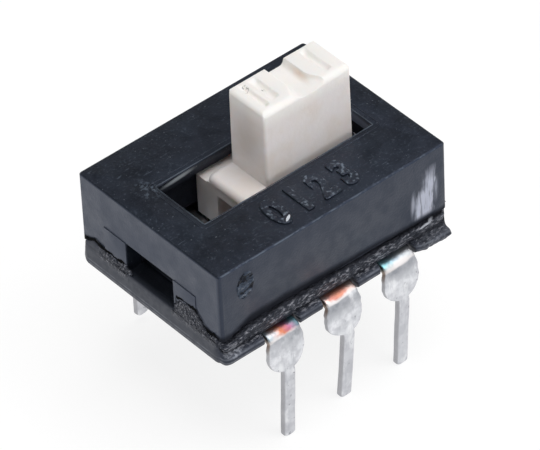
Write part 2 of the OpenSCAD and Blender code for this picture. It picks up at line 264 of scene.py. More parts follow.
@dataclass
class BlackMoulding(Finish):
    """Glass-filled nylon, injection moulded in a spark-eroded tool: blue-black and satin, rubbed and dusty."""
    body: str = "#11151b"
    bloom: str = "#1a2028"
    scratch: str = "#4c5560"
    dust: str = "#8b929b"
    roughness: float = 0.4
    wear: float = 1.0

    def surface(self) -> dict:
        """Cloudy nylon with scratches and dust, and the marks of one piece.

        Returns:
            The shader's inputs.
        """
        cloud = self.patches(1.3, 0.35, 0.7, detail=5)
        rubs = self.scratches()
        # dust: rare specks about 0.05 mm across, and a fainter haze between them
        specks = self.patches(0.075, 0.73, 0.8, to=(0.0, 0.55 * self.wear), detail=1)
        haze = self.patches(0.11, 0.55, 0.85, to=(0.0, 0.25 * self.wear))
        colour, shade = self.marks(self.coats(self.body, (cloud, self.bloom), (rubs, self.scratch),
                                              (specks, self.dust), (haze, self.scratch)))
        rough = self.patches(0.5, 0.3, 0.7, to=(self.roughness - 0.05, self.roughness + 0.1))
        if shade is not None:
            rough = self.add("Math", rough, shade, operation="ADD", use_clamp=True)
        # the spark-eroded grain, with the scratches as low ridges over it
        height = self.add("Math", rubs, 0.8, self.patches(0.09, 0.2, 0.8), operation="MULTIPLY_ADD")
        normal = self.add("Bump", inputs={"Height": height, "Distance": 0.004 * MM, "Strength": 1.0})
        return {"Base Color": colour, "Roughness": rough, "IOR": 1.54, "Specular Tint": "#d2ddff",
                "Normal": normal}

    def scratches(self) -> Socket:
        """Short fine scratches in three directions: long narrow patches, kept only where wider patches lie.

        Returns:
            0 to 0.6, the strength of the scratch.
        """
        found = self.patches(0.06, 0.69, 0.76, detail=1, stretch=(0.16, 1, 0.5), turn=(0, 0, 0.5))
        for turn in (-0.9, 1.35):
            more = self.patches(0.05, 0.7, 0.77, detail=1, stretch=(0.14, 1, 0.5), turn=(0, 0, turn))
            found = self.add("Math", found, more, operation="MAXIMUM")
        kept = self.patches(1.1, 0.5, 0.6, to=(0.12, 0.6 * self.wear))
        return self.add("Math", found, kept, operation="MULTIPLY")

    def marks(self, colour: Socket) -> tuple[Socket, Socket | None]:
        """Marks of one piece alone; plain mouldings have none.

        Args:
            colour: Colour without the marks.

        Returns:
            Colour with the marks, and what they add to the roughness.
        """
        return colour, None


@dataclass
class HousingMoulding(BlackMoulding):
    """The same nylon on the housing: painted shade at the pressed edge and inside, rubbed white patch, painted
    highlights and painted light on its walls.
    """
    arch: Arch = None
    low: tuple = ()
    high: tuple = ()

    def marks(self, colour: Socket) -> tuple[Socket, Socket]:
        """Lay the housing's own marks, and its painted light and shade, over its colour.

        Args:
            colour: Colour without the marks.

        Returns:
            Colour with the marks, and what they add to the roughness.
        """
        x, y, z = self.axes
        top = self.high[2]
        # painted light: the long walls are painted a thin blue lighter, and the end walls paler still, for the
        # light they catch
        on_top = self.add("MapRange", z, top - 0.03, top - 0.01)
        lit_walls = []
        for place, reach, share in ((y, self.high[1], 0.9), (x, self.high[0], 0.85)):
            far = self.add("Math", place, operation="ABSOLUTE")
            lit_walls.append(self.add("MapRange", far, reach - 0.07, reach - 0.04, 0.0, share))
        side, end = lit_walls[0], self.add("Math", lit_walls[1], on_top, operation="SUBTRACT", use_clamp=True)
        # the top face is speckled with rubbed grains, most of all beside the slot's left end
        nicks = self.oval((-3.8, 1.35, top), (0.5, 0.75, 0.2), soft=0.7)
        nicks = self.add("Math", nicks, self.patches(0.12, 0.5, 0.62, to=(0.0, 0.8)), operation="MULTIPLY")
        grains = self.patches(0.1, 0.56, 0.76, to=(0.0, 0.42))
        grains = self.add("Math", grains, nicks, operation="MAXIMUM")
        grains = self.add("Math", grains, on_top, operation="MULTIPLY")
        # painted highlights: pale glints in patches on the tops of the raised figures
        figure_highlights = self.add("MapRange", z, top + 0.02, top + 0.05)
        glint_patches = self.patches(0.14, 0.52, 0.66, to=(0.0, 0.9), detail=4)
        figure_highlights = self.add("Math", figure_highlights, glint_patches, operation="MULTIPLY")
        # painted light: a pale streak on the slot's far wall, where light falls past the knob
        pale_streak = self.oval((-2.6, 1.24, top - 0.18), (0.95, 0.06, 0.13), turn=-0.07, soft=0.7)
        # painted highlight: the front top edge is painted pale along a thin broken line
        edge = self.oval((0, self.low[1] + 0.01, top - 0.01), (60, 0.05, 0.05), soft=0.6)
        broken = self.patches(0.2, 0.45, 0.6, to=(0.0, 0.75), stretch=(0.6, 1, 1))
        wear_and_edge_highlight = self.add("Math", edge, broken, operation="MULTIPLY")
        # painted shade: black at the pressed edge under the arch and in the cavity
        dark = self.add("Math", self.cove_shade(), self.cavity_shade(), operation="MAXIMUM")
        # painted light: the slot's right end wall is painted pale for the light it catches
        stop = self.oval((3.78, 0, top - 0.42), (0.12, 2.2, 0.44), soft=0.4)
        colour = self.coats(colour, (side, "#1a222e"), (self.scuff(), "#c3c7d6"), (grains, "#4d5661"),
                            (figure_highlights, "#69737e"), (pale_streak, "#a3aab0"), (end, "#424854"), (wear_and_edge_highlight, "#5c666e"),
                            (dark, "#030304"), (stop, "#576070"))
        return colour, self.add("Math", dark, 0.5, operation="MULTIPLY")

    def scuff(self) -> Socket:
        """White rub near the right end of the front face: a leaning band, streaked along its length.

        Its left side leans more than its right one, so it narrows and fades upwards. A fainter rub stands on
        either side of it.

        Returns:
            0 to 0.95, the strength of the rub.
        """
        x, y, z = self.axes
        right, front, top = self.high[0], self.low[1], self.high[2]
        whole = self.add("MapRange", z, top - 2.72, top - 2.5)
        wavy = self.patches(0.3, 0.3, 0.7, to=(-0.12, 0.12), detail=2, stretch=(1, 1, 0.4))
        for low, high, soft in ((-1.75, -0.92, 0.4), (-0.52, -0.42, -0.22)):
            edge = self.add("MapRange", z, top - 2.6, top - 0.2, right + low, right + high)
            past = self.add("Math", x, edge, operation="SUBTRACT")
            past = self.add("Math", past, wavy, operation="ADD")
            within = self.add("MapRange", past, 0.0, soft, interpolation_type="SMOOTHSTEP")
            whole = self.add("Math", whole, within, operation="MULTIPLY")
        fade = self.add("MapRange", z, top - 1.25, top - 0.55, 1.0, 0.0)
        on_front = self.add("Math", y, front + 0.2, operation="LESS_THAN")
        for share in (fade, on_front):
            whole = self.add("Math", whole, share, operation="MULTIPLY")
        for off, down, wide, tall, strength in ((0.5, 1.75, 0.17, 0.7, 0.5), (1.52, 1.92, 0.15, 0.75, 0.6)):
            beside = self.oval((right - off, front, top - down), (wide, 0.3, tall), turn=0.06, soft=0.9)
            beside = self.add("Math", beside, strength, operation="MULTIPLY")
            whole = self.add("Math", whole, beside, operation="MAXIMUM")
        streaks = self.patches(0.13, 0.32, 0.54, to=(0.35, 0.95), detail=6, stretch=(1.6, 1, 0.16),
                               turn=(0, 0.24, 0))
        return self.add("Math", whole, streaks, operation="MULTIPLY")

    def cove_shade(self) -> Socket:
        """Painted shade where the long walls roll in over the base, under the arch.

        Returns:
            1 at the dark edge, fading upwards to 0.
        """
        x, y, z = self.axes
        arch = self.arch
        level = arch.left + arch.rise_l
        climb = self.add("MapRange", x, arch.left, level, arch.foot, arch.high)
        fall = self.add("MapRange", x, level + arch.flat_l, arch.right, arch.high, arch.toe)
        lift = self.add("Math", climb, fall, operation="MINIMUM")
        above = self.add("Math", z, self.low[2], operation="SUBTRACT")
        above = self.add("Math", above, lift, operation="SUBTRACT")
        dark = self.add("MapRange", above, 0.24, 0.0, interpolation_type="SMOOTHSTEP")
        across = self.add("Math", y, operation="ABSOLUTE")
        long_side = self.add("Math", across, self.high[1] - 0.2, operation="GREATER_THAN")
        return self.add("Math", dark, long_side, operation="MULTIPLY")

    def cavity_shade(self) -> Socket:
        """Mask of the painted shade in the cavity, below the top and within the walls.

        Returns:
            1 inside, 0 outside.
        """
        x, y, z = self.axes
        found = self.add("MapRange", z, self.high[2] - 0.2, self.high[2] - 0.45)
        for place, reach in ((x, self.high[0]), (y, self.high[1])):
            far = self.add("Math", place, operation="ABSOLUTE")
            near = self.add("Math", far, reach - 0.6, operation="LESS_THAN")
            found = self.add("Math", found, near, operation="MULTIPLY")
        return found


@dataclass
class TornPlastic(Finish):
    """The same nylon where a hot tool pressed or tore it: dull and lumpy, with pale flecks.

    Its colour goes by the height of its lumps: painted shade, black, in the hollows, and pale on their crests.
    """
    body: str = "#0d0f12"
    grey: str = "#33363c"
    fleck: str = "#75767c"
    crest: str = "#93939a"
    roughness: tuple = (0.3, 0.65)
    depth: float = 0.05
    grain: float = 0.11
    stops: tuple = (0.3, 0.58, 0.76, 0.92)
    gloss: float = 0.5

    def surface(self) -> dict:
        """Lumps and their colours.

        Returns:
            The shader's inputs.
        """
        lumps = self.patches(self.grain, 0.25, 0.75, detail=5, stretch=(0.45, 1, 1), turn=(0, 0.5, 0))
        shades = zip(self.stops, (self.body, self.grey, self.fleck, self.crest))
        colour, lumps = self.zones(self.add("ValToRGB", lumps, stops=tuple(shades)), lumps)
        rough = self.patches(0.2, 0.35, 0.65, to=self.roughness)
        normal = self.add("Bump", inputs={"Height": lumps, "Distance": self.depth * MM, "Strength": 1.0})
        return {"Base Color": colour, "Roughness": rough, "IOR": 1.54, "Specular IOR Level": self.gloss,
                "Specular Tint": "#dae2ff", "Normal": normal}

    def zones(self, colour: Socket, lumps: Socket) -> tuple[Socket, Socket]:
        """Change the finish from place to place; a plain torn spot is the same all over.

        Args:
            colour: Colour of the torn surface.
            lumps: Height of its lumps.

        Returns:
            The colour and the height.
        """
        return colour, lumps


@dataclass
class SeamPlastic(TornPlastic):
    """The base's hot-pressed outer skin: a smooth foot, a torn ledge and a head painted black as the shade under
    the housing's edge.

    The piece's UV map is 1 across on the long sides and 0 on the ends. It runs up from 0 at the foot to 1 at
    the head.
    """
    smooth: str = "#24282f"
    grain: float = 0.075
    roughness: tuple = (0.4, 0.52)
    right: float = 4.0

    def zones(self, colour: Socket, lumps: Socket) -> tuple[Socket, Socket]:
        """Smooth the foot, except near the right end, and blacken the head and the crease above the foot with
        painted shade.

        Args:
            colour: Colour of the torn surface.
            lumps: Height of its lumps.

        Returns:
            The colour and the height.
        """
        _, y, z = self.axes
        long_side, up, _ = self.add("SeparateXYZ", self.add("UVMap", uv_map="strip")).node.outputs
        foot = self.add("MapRange", up, 0.27, 0.36, 1.0, 0.0)
        # the ends are smooth all the way up below the windows and towards the back
        sill = self.add("MapRange", self.add("Math", y, operation="ABSOLUTE"), 1.25, 1.1)
        beyond = self.add("MapRange", y, 2.3, 2.8)
        beyond = self.add("Math", beyond, long_side, operation="SUBTRACT", use_clamp=True)
        for calm in (sill, beyond):
            foot = self.add("Math", foot, calm, operation="MAXIMUM")
        rough_end = self.oval((self.right + 0.4, -3.75, 4.8), (1.1, 0.6, 0.7), soft=0.3)
        kept = self.add("Math", rough_end, -0.6, 1.0, operation="MULTIPLY_ADD")
        foot = self.add("Math", foot, kept, operation="MULTIPLY")
        # the right end's bead is rubbed grey
        grey = self.patches(0.16, 0.4, 0.62, to=(0.1, 0.6), detail=4)
        grey = self.add("Math", rough_end, grey, operation="MULTIPLY")
        # the tool left two fine lines round the foot
        broken = self.patches(0.5, 0.4, 0.6, to=(0.25, 0.8), stretch=(1, 1, 0.1))
        lines = []
        for height in (4.68, 4.82):
            off = self.add("Math", self.add("Math", z, height, operation="SUBTRACT"), operation="ABSOLUTE")
            line = self.add("MapRange", off, 0.035, 0.015)
            lines.append((self.add("Math", line, broken, operation="MULTIPLY"), "#6d7179"))
        # a pale spot on the bead at the left end, streaked upwards
        pale_streak = self.oval((-4.55, -3.7, 4.95), (0.45, 0.3, 0.25), soft=0.6)
        streaks = self.patches(0.1, 0.4, 0.6, to=(0.1, 0.75), stretch=(1, 1, 0.3), turn=(0, 0.6, 0))
        pale_streak = self.add("Math", pale_streak, streaks, operation="MULTIPLY")
        # painted shade: just above the foot, in the crease over the bead, the ledge is darker
        hollow = self.add("MapRange", up, 0.58, 0.44, 0.0, 0.6)
        above = self.add("Math", up, 0.36, operation="GREATER_THAN")
        hollow = self.add("Math", hollow, above, operation="MULTIPLY")
        # painted shade: the head is blackened on the long sides, in the cove under the housing's edge
        head = self.add("MapRange", up, 0.78, 0.9, 0.0, 0.92, interpolation_type="SMOOTHSTEP")
        head = self.add("Math", head, long_side, operation="MULTIPLY")
        # a bright scrape on the ledge near the right end
        scrape = self.oval((self.right, -3.6, 5.3), (0.5, 0.3, 0.035), turn=-0.12)
        colour = self.coats(colour, (foot, self.smooth), (grey, "#5b5e64"), *lines, (pale_streak, "#a9adb6"),
                            (hollow, self.body), (head, "#040405"), (scrape, "#bfc3cb"))
        lumpy = self.add("Math", 1.0, foot, operation="SUBTRACT")
        return colour, self.add("Math", lumps, lumpy, operation="MULTIPLY")


@dataclass
class CreviceShade(Finish):
    """Painted shade: the black of crevices in the nylon too narrow and deep for light to come back out of them."""

    def surface(self) -> dict:
        """Two blacks in patches.

        Returns:
            The shader's inputs.
        """
        soot = self.coats("#060708", (self.patches(0.2, 0.4, 0.7), "#101215"))
        return {"Base Color": soot, "Roughness": 1.0, "Specular IOR Level": 0.1}


@dataclass
class CreamMoulding(Finish):
    """Acetal, injection moulded: cream white, satin, a little translucent, with grime in its grooves."""
    # the knob's left end and its top
    left: float = 0.0
    top: float = 0.0
    body: str = "#f4eeed"
    warm: str = "#eee5df"
    grime: str = "#4a3d38"

    def surface(self) -> dict:
        """Cloudy cream with painted light on it: a paler top, a painted warm glow and a painted grey shade on the
        left end; and its grime.

        Returns:
            The shader's inputs.
        """
        left, top = self.left, self.top
        cloud = self.patches(1.3, 0.35, 0.7)
        # painted light: the top is painted paler, where the light falls on it
        high = self.add("MapRange", self.axes[2], top - 0.7, top - 0.3, 0.0, 0.85)
        # painted warm shade and glow on the steep wall of the valley, for light through the plastic
        painted_glow = self.oval((left + 2.3, 0.0, top - 0.12), (0.22, 0.8, 0.2), soft=0.9)
        painted_glow = self.add("Math", painted_glow, 0.6, operation="MULTIPLY")
        # painted shade: the left end is greyer in its middle than at its edges
        middle = self.oval((left, 0.0, top - 1.7), (0.3, 0.85, 1.6), soft=0.9)
        middle = self.add("Math", middle, 0.5, operation="MULTIPLY")
        # grime: crumbs in the two left grooves, and a few lone specks
        crumbs = self.patches(0.06, 0.52, 0.66, to=(0.0, 0.75), detail=2)
        near = self.oval((left + 0.55, 0.62, top - 0.1), (0.16, 0.2, 0.16), soft=0.4)
        for along, across in ((0.92, 0.18), (0.42, 0.46)):
            more = self.oval((left + along, across, top - 0.1), (0.09, 0.1, 0.16), soft=0.4)
            near = self.add("Math", near, more, operation="MAXIMUM")
        crumbs = self.add("Math", crumbs, near, operation="MULTIPLY")
        lone = self.patches(0.14, 0.78, 0.82, to=(0.0, 0.6), detail=2)
        grime = self.add("Math", crumbs, lone, operation="MAXIMUM")
        colour = self.coats(self.body, (cloud, self.warm), (high, "#fdf9f5"), (painted_glow, "#e3c3a4"),
                            (middle, "#cfc3bb"), (grime, self.grime))
        waves = self.patches(0.14, 0.2, 0.8)
        normal = self.add("Bump", inputs={"Height": waves, "Distance": 0.004 * MM, "Strength": 1.0})
        return {"Base Color": colour, "Roughness": self.patches(0.4, 0.3, 0.7, to=(0.46, 0.58)), "IOR": 1.48,
                "Subsurface Weight": 0.3, "Subsurface Radius": (1.0, 0.72, 0.6), "Subsurface Scale": 0.3 * MM,
                "Normal": normal}


@dataclass
class TinPlate(Finish):
    """Dull tin on sheared brass strip: grey-white and calm, with heat colours in a painted reflection over the
    bend, and sides painted grey as shade and brown beside the bend.

    The piece's UV map runs across the strip and along it, both in millimetres, from the middle of the bend.
    The bright band over the bend is a painted reflection: it ends at one length along it, and its colours turn
    white at another.
    """
    heat: tuple = ("#b9d3dd", "#f4f1ec", "#dd9a78", "#c9a3b5", "#a9c4cf")
    end: float = 0.05
    white: float = -0.05
    half_width: float = 0.7
    slant: float = -0.5
    strip: tuple[Socket, Socket, Socket] = field(init=False)

    def surface(self) -> dict:
        """Mottled tin with painted glints and a painted dark band, the painted reflection with its heat colours,
        and the sides with painted shade.

        Returns:
            The shader's inputs.
        """
        self.strip = tuple(self.add("SeparateXYZ", self.add("UVMap", uv_map="strip")).node.outputs)
        along = self.strip[1]
        blot = self.patches(0.5, 0.34, 0.68, detail=4)
        # painted reflection: a dark band just below the bend; and the pins are streaked along their length
        dark_band_below_bend = self.add("MapRange", along, 0.2, 0.7, 0.8, 0.0)
        dark_band_below_bend = self.add("Math", dark_band_below_bend, self.patches(0.6, 0.3, 0.6, to=(0.3, 1.0)), operation="MULTIPLY")
        pin = self.add("MapRange", along, 1.2, 1.8, 0.0, 0.6)
        mottle = self.patches(0.34, 0.36, 0.66, to=(0.0, 0.65), detail=5)
        # painted highlights: pale glints on the tin
        painted_glints = self.patches(0.35, 0.54, 0.74, to=(0.0, 0.6), stretch=(1, 1, 0.5))
        streak = self.patches(0.12, 0.5, 0.75, to=(0.0, 0.5), stretch=(1, 1, 0.12))
        smudge = self.patches(0.22, 0.64, 0.74, to=(0.0, 0.75), detail=4)
        bend = self.on_bend()
        colour = self.coats("#dcdee2", (blot, "#ecedf1"), (dark_band_below_bend, "#7c8088"), (pin, "#c5c6cb"),
                            (mottle, "#babbc1"), (painted_glints, "#f3f4f6"), (streak, "#b4b6bc"), (smudge, "#7d7f86"),
                            (bend, self.tint()), self.side_shade_and_brass())
        rough = self.patches(0.4, 0.3, 0.7, to=(0.5, 0.4))
        rough = self.add("Math", bend, -0.04, rough, operation="MULTIPLY_ADD")
        waves = self.patches(0.3, 0.2, 0.8, detail=1)
        normal = self.add("Bump", inputs={"Height": waves, "Distance": 0.006 * MM, "Strength": 1.0})
        return {"Base Color": colour, "Metallic": 1.0, "Roughness": rough, "Normal": normal}

    def on_bend(self) -> Socket:
        """Mask of the painted reflection over the bend, with a sharp lower end and a soft upper one.

        Returns:
            1 over the bend, 0 elsewhere.
        """
        across, along, _ = self.strip
        ragged = self.patches(0.5, 0.2, 0.8, to=(-0.03, 0.03), detail=1)
        ragged = self.add("Math", across, 0.04, ragged, operation="MULTIPLY_ADD")
        place = self.add("Math", along, ragged, operation="ADD")
        start = self.add("MapRange", place, -0.5, -0.25)
        end = self.add("MapRange", place, self.end + 0.03, self.end - 0.01)
        return self.add("Math", start, end, operation="MULTIPLY")

    def tint(self) -> Socket:
        """Heat colours: five tints across the upper half of the bend, fading to the painted reflection's white
        over its lower half.

        Returns:
            The colour.
        """
        across, along, _ = self.strip
        slant = self.add("Math", along, self.slant, operation="MULTIPLY")
        pull = self.patches(0.35, 0.2, 0.8, to=(-0.1, 0.1), detail=2)
        pull = self.add("Math", pull, slant, operation="ADD")
        place = self.add("MapRange", across, -self.half_width, self.half_width)
        place = self.add("Math", place, pull, operation="ADD", use_clamp=True)
        stops = tuple((0.06 + 0.22 * i, colour) for i, colour in enumerate(self.heat))
        upper = self.add("ValToRGB", place, stops=stops)
        sway = self.patches(0.4, 0.2, 0.8, to=(-0.04, 0.04), detail=2)
        fall = self.add("Math", along, sway, operation="ADD")
        lower = self.add("MapRange", fall, self.white - 0.04, self.white + 0.04)
        return self.coats(upper, (lower, "#dedada"))

    def side_shade_and_brass(self) -> tuple[Socket, Socket]:
        """Coat of the sheared sides, which face along the row: painted grey shade, and brown brass beside the
        bend.

        Returns:
            Its mask and its colour.
        """
        facing = self.add("SeparateXYZ", self.add("NewGeometry", out="True Normal"))
        side = self.add("MapRange", self.add("Math", facing, operation="ABSOLUTE"), 0.6, 0.9, 0.0, 0.75)
        near = self.add("MapRange", self.strip[1], 0.15, 0.5, 1.0, 0.0)
        return side, self.coats("#a0a0a4", (near, "#66492a"))


@dataclass
class PlainMetal(Finish):
    """Small inner metal: rolled sheet, drawn wire or a ground ball, told apart by colour and roughness."""
    colour: str = "#c0c2c6"
    roughness: float = 0.3

    def surface(self) -> dict:
        """Clean metal with faint stains.

        Returns:
            The shader's inputs.
        """
        stained = self.coats(self.colour, (self.patches(0.3, 0.3, 0.8, to=(0.0, 0.35)), "#77736c"))
        rough = self.patches(0.3, 0.3, 0.7, to=(self.roughness, self.roughness + 0.12))
        return {"Base Color": stained, "Metallic": 1.0, "Roughness": rough}


# ---------------------------------------------------------------- meshes

def value_noise(u: np.ndarray, v: np.ndarray, seed: int) -> np.ndarray:
    """Smooth seeded noise: random values at whole (u, v), blended by the cubic 3t^2 - 2t^3 between them.

    Args:
        u: First coordinate.
        v: Second coordinate, of the same shape or one that broadcasts.
        seed: Picks the pattern.

    Returns:
        Values from -1 to 1.
    """
    table = np.random.default_rng(seed).uniform(-1, 1, (256, 256))
    iu, iv = np.floor(u).astype(int), np.floor(v).astype(int)
    tu, tv = u - iu, v - iv
    tu, tv = tu * tu * (3 - 2 * tu), tv * tv * (3 - 2 * tv)
    corner = [[table[(iu + i) % 256, (iv + j) % 256] for j in (0, 1)] for i in (0, 1)]
    low = corner[0][0] * (1 - tu) + corner[1][0] * tu
    high = corner[0][1] * (1 - tu) + corner[1][1] * tu
    return low * (1 - tv) + high * tv


def smooth_step(value: np.ndarray, start: float, end: float) -> np.ndarray:
    """0 before start, 1 after end, and the cubic 3t^2 - 2t^3 between."""
    t = np.clip((value - start) / (end - start), 0, 1)
    return t * t * (3 - 2 * t)


def linked(name: str, data: bpy.types.ID) -> Object:
    """A new object that holds the data, linked to the scene."""
    made = bpy.data.objects.new(name, data)
    bpy.context.scene.collection.objects.link(made)
    return made


def finish_mesh(mesh: bpy.types.Mesh, sharp_deg: float) -> None:
    """Smooth every face, but keep the edges sharper than sharp_deg."""
    mesh.polygons.foreach_set("use_smooth", np.ones(len(mesh.polygons), dtype=bool))
    mesh.set_sharp_from_angle(angle=math.radians(sharp_deg))


def grid_piece(name: str, points: np.ndarray, wrap_u: bool = False, wrap_v: bool = False, cap: bool = False,
               sharp_deg: float = 40.0, uv: np.ndarray | None = None) -> Object:
    """Make an object from one grid of points, or from several of the same size.

    Args:
        name: Name of the object.
        points: Array of shape (u, v, 3) or (grids, u, v, 3), in millimetres.
        wrap_u: The last row of u joins the first.
        wrap_v: The last column of v joins the first.
        cap: Close the first and last row of u of a single grid with one face each.
        sharp_deg: Edges sharper than this stay sharp.
        uv: Optional array of shape (u, v, 2) for a UV map called strip.

    Returns:
        The object, linked to the scene.
    """
    index = np.arange(points.size // 3).reshape(-1, *points.shape[-3:-1])
    rows = np.concatenate([index, index[:, :1]], axis=1) if wrap_u else index
    rows = np.concatenate([rows, rows[:, :, :1]], axis=2) if wrap_v else rows
    quads = np.stack([rows[:, :-1, :-1], rows[:, 1:, :-1], rows[:, 1:, 1:], rows[:, :-1, 1:]], axis=-1)
    faces = quads.reshape(-1, 4).tolist()
    if cap:
        faces += [index[0, 0].tolist(), index[0, -1, ::-1].tolist()]
    mesh = bpy.data.meshes.new(name)
    mesh.from_pydata((points.reshape(-1, 3) * MM).tolist(), [], faces)
    if uv is not None:
        corners = np.empty(len(mesh.loops), dtype=np.int32)
        mesh.loops.foreach_get("vertex_index", corners)
        mesh.uv_layers.new(name="strip").data.foreach_set("uv", uv.reshape(-1, 2)[corners].ravel())
    work = bmesh.new()
    work.from_mesh(mesh)
    bmesh.ops.remove_doubles(work, verts=work.verts, dist=1e-8)
    bmesh.ops.recalc_face_normals(work, faces=work.faces)
    work.to_mesh(mesh)
    work.free()
    finish_mesh(mesh, sharp_deg)
    return linked(name, mesh)


def copy_of(node: str, name: str, edge: float, cuts: tuple = ()) -> Object:
    """Copy a CAD node's mesh, weld it, and round its edges.

    Args:
        node: CAD node.
        name: Name of the copy.
        edge: Width of the rounding, in millimetres.
        cuts: Outward direction and distance from the origin, in millimetres, of each plane that cuts away all
            beyond it; the cuts are closed.

    Returns:
        The copy, with a live Bevel.
    """
    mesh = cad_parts[node].data.copy()
    mesh.name = name
    mesh.materials.clear()
    work = bmesh.new()
    work.from_mesh(mesh)
    bmesh.ops.remove_doubles(work, verts=work.verts, dist=1e-7)
    for way, far in cuts:
        cut = bmesh.ops.bisect_plane(work, geom=work.verts[:] + work.edges[:] + work.faces[:], dist=1e-8,
                                     plane_co=np.array(way) * far * MM, plane_no=way, clear_outer=True)
        bmesh.ops.holes_fill(work, edges=[e for e in cut["geom_cut"] if isinstance(e, bmesh.types.BMEdge)])
    bmesh.ops.dissolve_limit(work, angle_limit=math.radians(0.5), verts=work.verts, edges=work.edges)
    bmesh.ops.triangulate(work, faces=[f for f in work.faces if len(f.verts) > 4])
    bmesh.ops.recalc_face_normals(work, faces=work.faces)
    work.to_mesh(mesh)
    work.free()
    finish_mesh(mesh, 30)
    made = linked(name, mesh)
    bevel = made.modifiers.new("edges", "BEVEL")
    bevel.width = edge * MM
    bevel.segments = 2
    bevel.limit_method = "ANGLE"
    bevel.angle_limit = math.radians(40)
    bevel.harden_normals = True
    return made


def outline(half_x: float, half_y: float, radius: float, count: int) -> tuple[np.ndarray, np.ndarray]:
    """Rounded rectangle, evenly spaced along its length, anticlockwise from the middle of the right side.

    Straight sides and quarter circles are laid end to end by their lengths; a point is found by its length.

    Args:
        half_x: Half of its size along X.
        half_y: Half of its size along Y.
        radius: Corner radius.
        count: Number of points.

    Returns:
        Points and outward normals, each of shape (count, 2).
    """
    a, b, quarter = half_x - radius, half_y - radius, math.pi * radius / 2
    lengths = np.cumsum([0, b, quarter, 2 * a, quarter, 2 * b, quarter, 2 * a, quarter, b])
    s = np.linspace(0, lengths[-1], count, endpoint=False)
    angle = np.interp(s, lengths, np.radians([0, 0, 90, 90, 180, 180, 270, 270, 360, 360]))
    centre_x = np.interp(s, lengths, [a, a, a, -a, -a, -a, -a, a, a, a])
    centre_y = np.interp(s, lengths, [0, b, b, b, b, -b, -b, -b, -b, 0])
    normal = np.stack([np.cos(angle), np.sin(angle)], axis=-1)
    return np.stack([centre_x, centre_y], axis=-1) + radius * normal, normal


def bent_path(corners: list[tuple[float, float]], radii: list[float],
              step: float) -> tuple[np.ndarray, np.ndarray, np.ndarray, list[float]]:
    """Line through corners, each rounded by its radius.

    At a corner that turns by t, the arc starts r tan(t / 2) before it and ends as far after it.

    Args:
        corners: Points of the line.
        radii: Radius at each inner corner.
        step: Distance between points along it.

    Returns:
        Points, unit directions, lengths from the start, and the length at the middle of each arc.
    """
    line = np.array(corners, dtype=float)
    way = np.diff(line, axis=0)
    way /= np.linalg.norm(way, axis=1)[:, None]
    knots, here, total = [line[0]], [0.0], 0.0
    middles = []
    for i, radius in enumerate(radii):
        turn = math.atan2(way[i][0] * way[i + 1][1] - way[i][1] * way[i + 1][0], way[i] @ way[i + 1])
        back = radius * math.tan(abs(turn) / 2)
        start = line[i + 1] - back * way[i]
        side = np.array([-way[i][1], way[i][0]]) * math.copysign(1, turn)
        heart = start + radius * side
        spread = np.linspace(0, turn, 13)[:, None]
        arc = heart - radius * (np.cos(spread) * side - math.copysign(1, turn) * np.sin(spread) * way[i])
        total += np.linalg.norm(start - knots[-1])
        lengths = total + np.abs(spread[:, 0]) * radius
        knots += list(arc)
        here += list(lengths)
        middles.append(float(lengths[6]))
        total = lengths[-1]
    total += np.linalg.norm(line[-1] - knots[-1])
    knots.append(line[-1])
    here.append(total)
    knots = np.array(knots)
    s = np.linspace(0, total, int(total / step) + 1)
    points = np.stack([np.interp(s, here, knots[:, k]) for k in (0, 1)], axis=-1)
    ahead = np.gradient(points, s, axis=0)
    return points, ahead / np.linalg.norm(ahead, axis=1)[:, None], s, middles


# ---------------------------------------------------------------- the switch

@dataclass
class Piece:
    """One finished piece on its way into the switch."""
    made: Object
    body: str
    slot: str
    finish: Material

    def place(self, *nodes: str) -> Object:
        """Dress the piece, let it ride on its body and report it.

        Args:
            nodes: CAD nodes that it stands for.

        Returns:
            The piece's object.
        """
        self.made.data.materials.append(self.finish)
        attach(self.made, self.body)
        if nodes:
            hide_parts(*nodes)
        log.info("%s: %d faces, rides on %s", self.made.name, len(self.made.data.polygons), self.body)
        return self.made


@dataclass
class Blister:
    """Oval mark on a face of the housing: a rough low dome with a raised rim."""
    name: str
    face: Face
    across: float
    up: float
    plane: float
    half_wide: float
    half_high: float
    turn: float = 0.0
    rise: float = 0.012
    rough: float = 0.022
    rim: float = 0.02
    seed: int = 5

    def build(self, finish: Material) -> None:
        """Build and place the mark.

        Over an ellipse, with radius 0 to 1, the height is (1 - radius^6) times a rise and seeded noise, and a
        bell curve of the radius makes the rim. The last ring lies just under the face.

        Args:
            finish: Material of the mark.
        """
        radius = np.linspace(0, 1, 16)[:, None]
        angle = np.linspace(0, 2 * np.pi, 60, endpoint=False)[None, :]
        a, b = self.half_wide * radius * np.cos(angle), self.half_high * radius * np.sin(angle)
        cos, sin = math.cos(self.turn), math.sin(self.turn)
        a, b = a * cos - b * sin, a * sin + b * cos
        lumps = value_noise(a * 9 + 40, b * 9 + 40, self.seed)
        lumps = lumps + 0.6 * value_noise(a * 22 + 40, b * 22 + 40, self.seed + 1)
        rim = self.rim * np.exp(-((radius - 0.82) / 0.12) ** 2)
        height = (1 - radius ** 6) * (self.rise + self.rough * lumps) + rim
        height = np.where(radius < 1, np.maximum(height, 0.001), -0.004)
        wide, high, out = (np.array(axis) for axis in self.face.value)
        middle = self.across * wide + self.up * high
        points = middle + a[..., None] * wide + b[..., None] * high + (self.plane + height)[..., None] * out
        Piece(grid_piece(self.name, points, wrap_v=True), "body", "housing_plastic", finish).place()


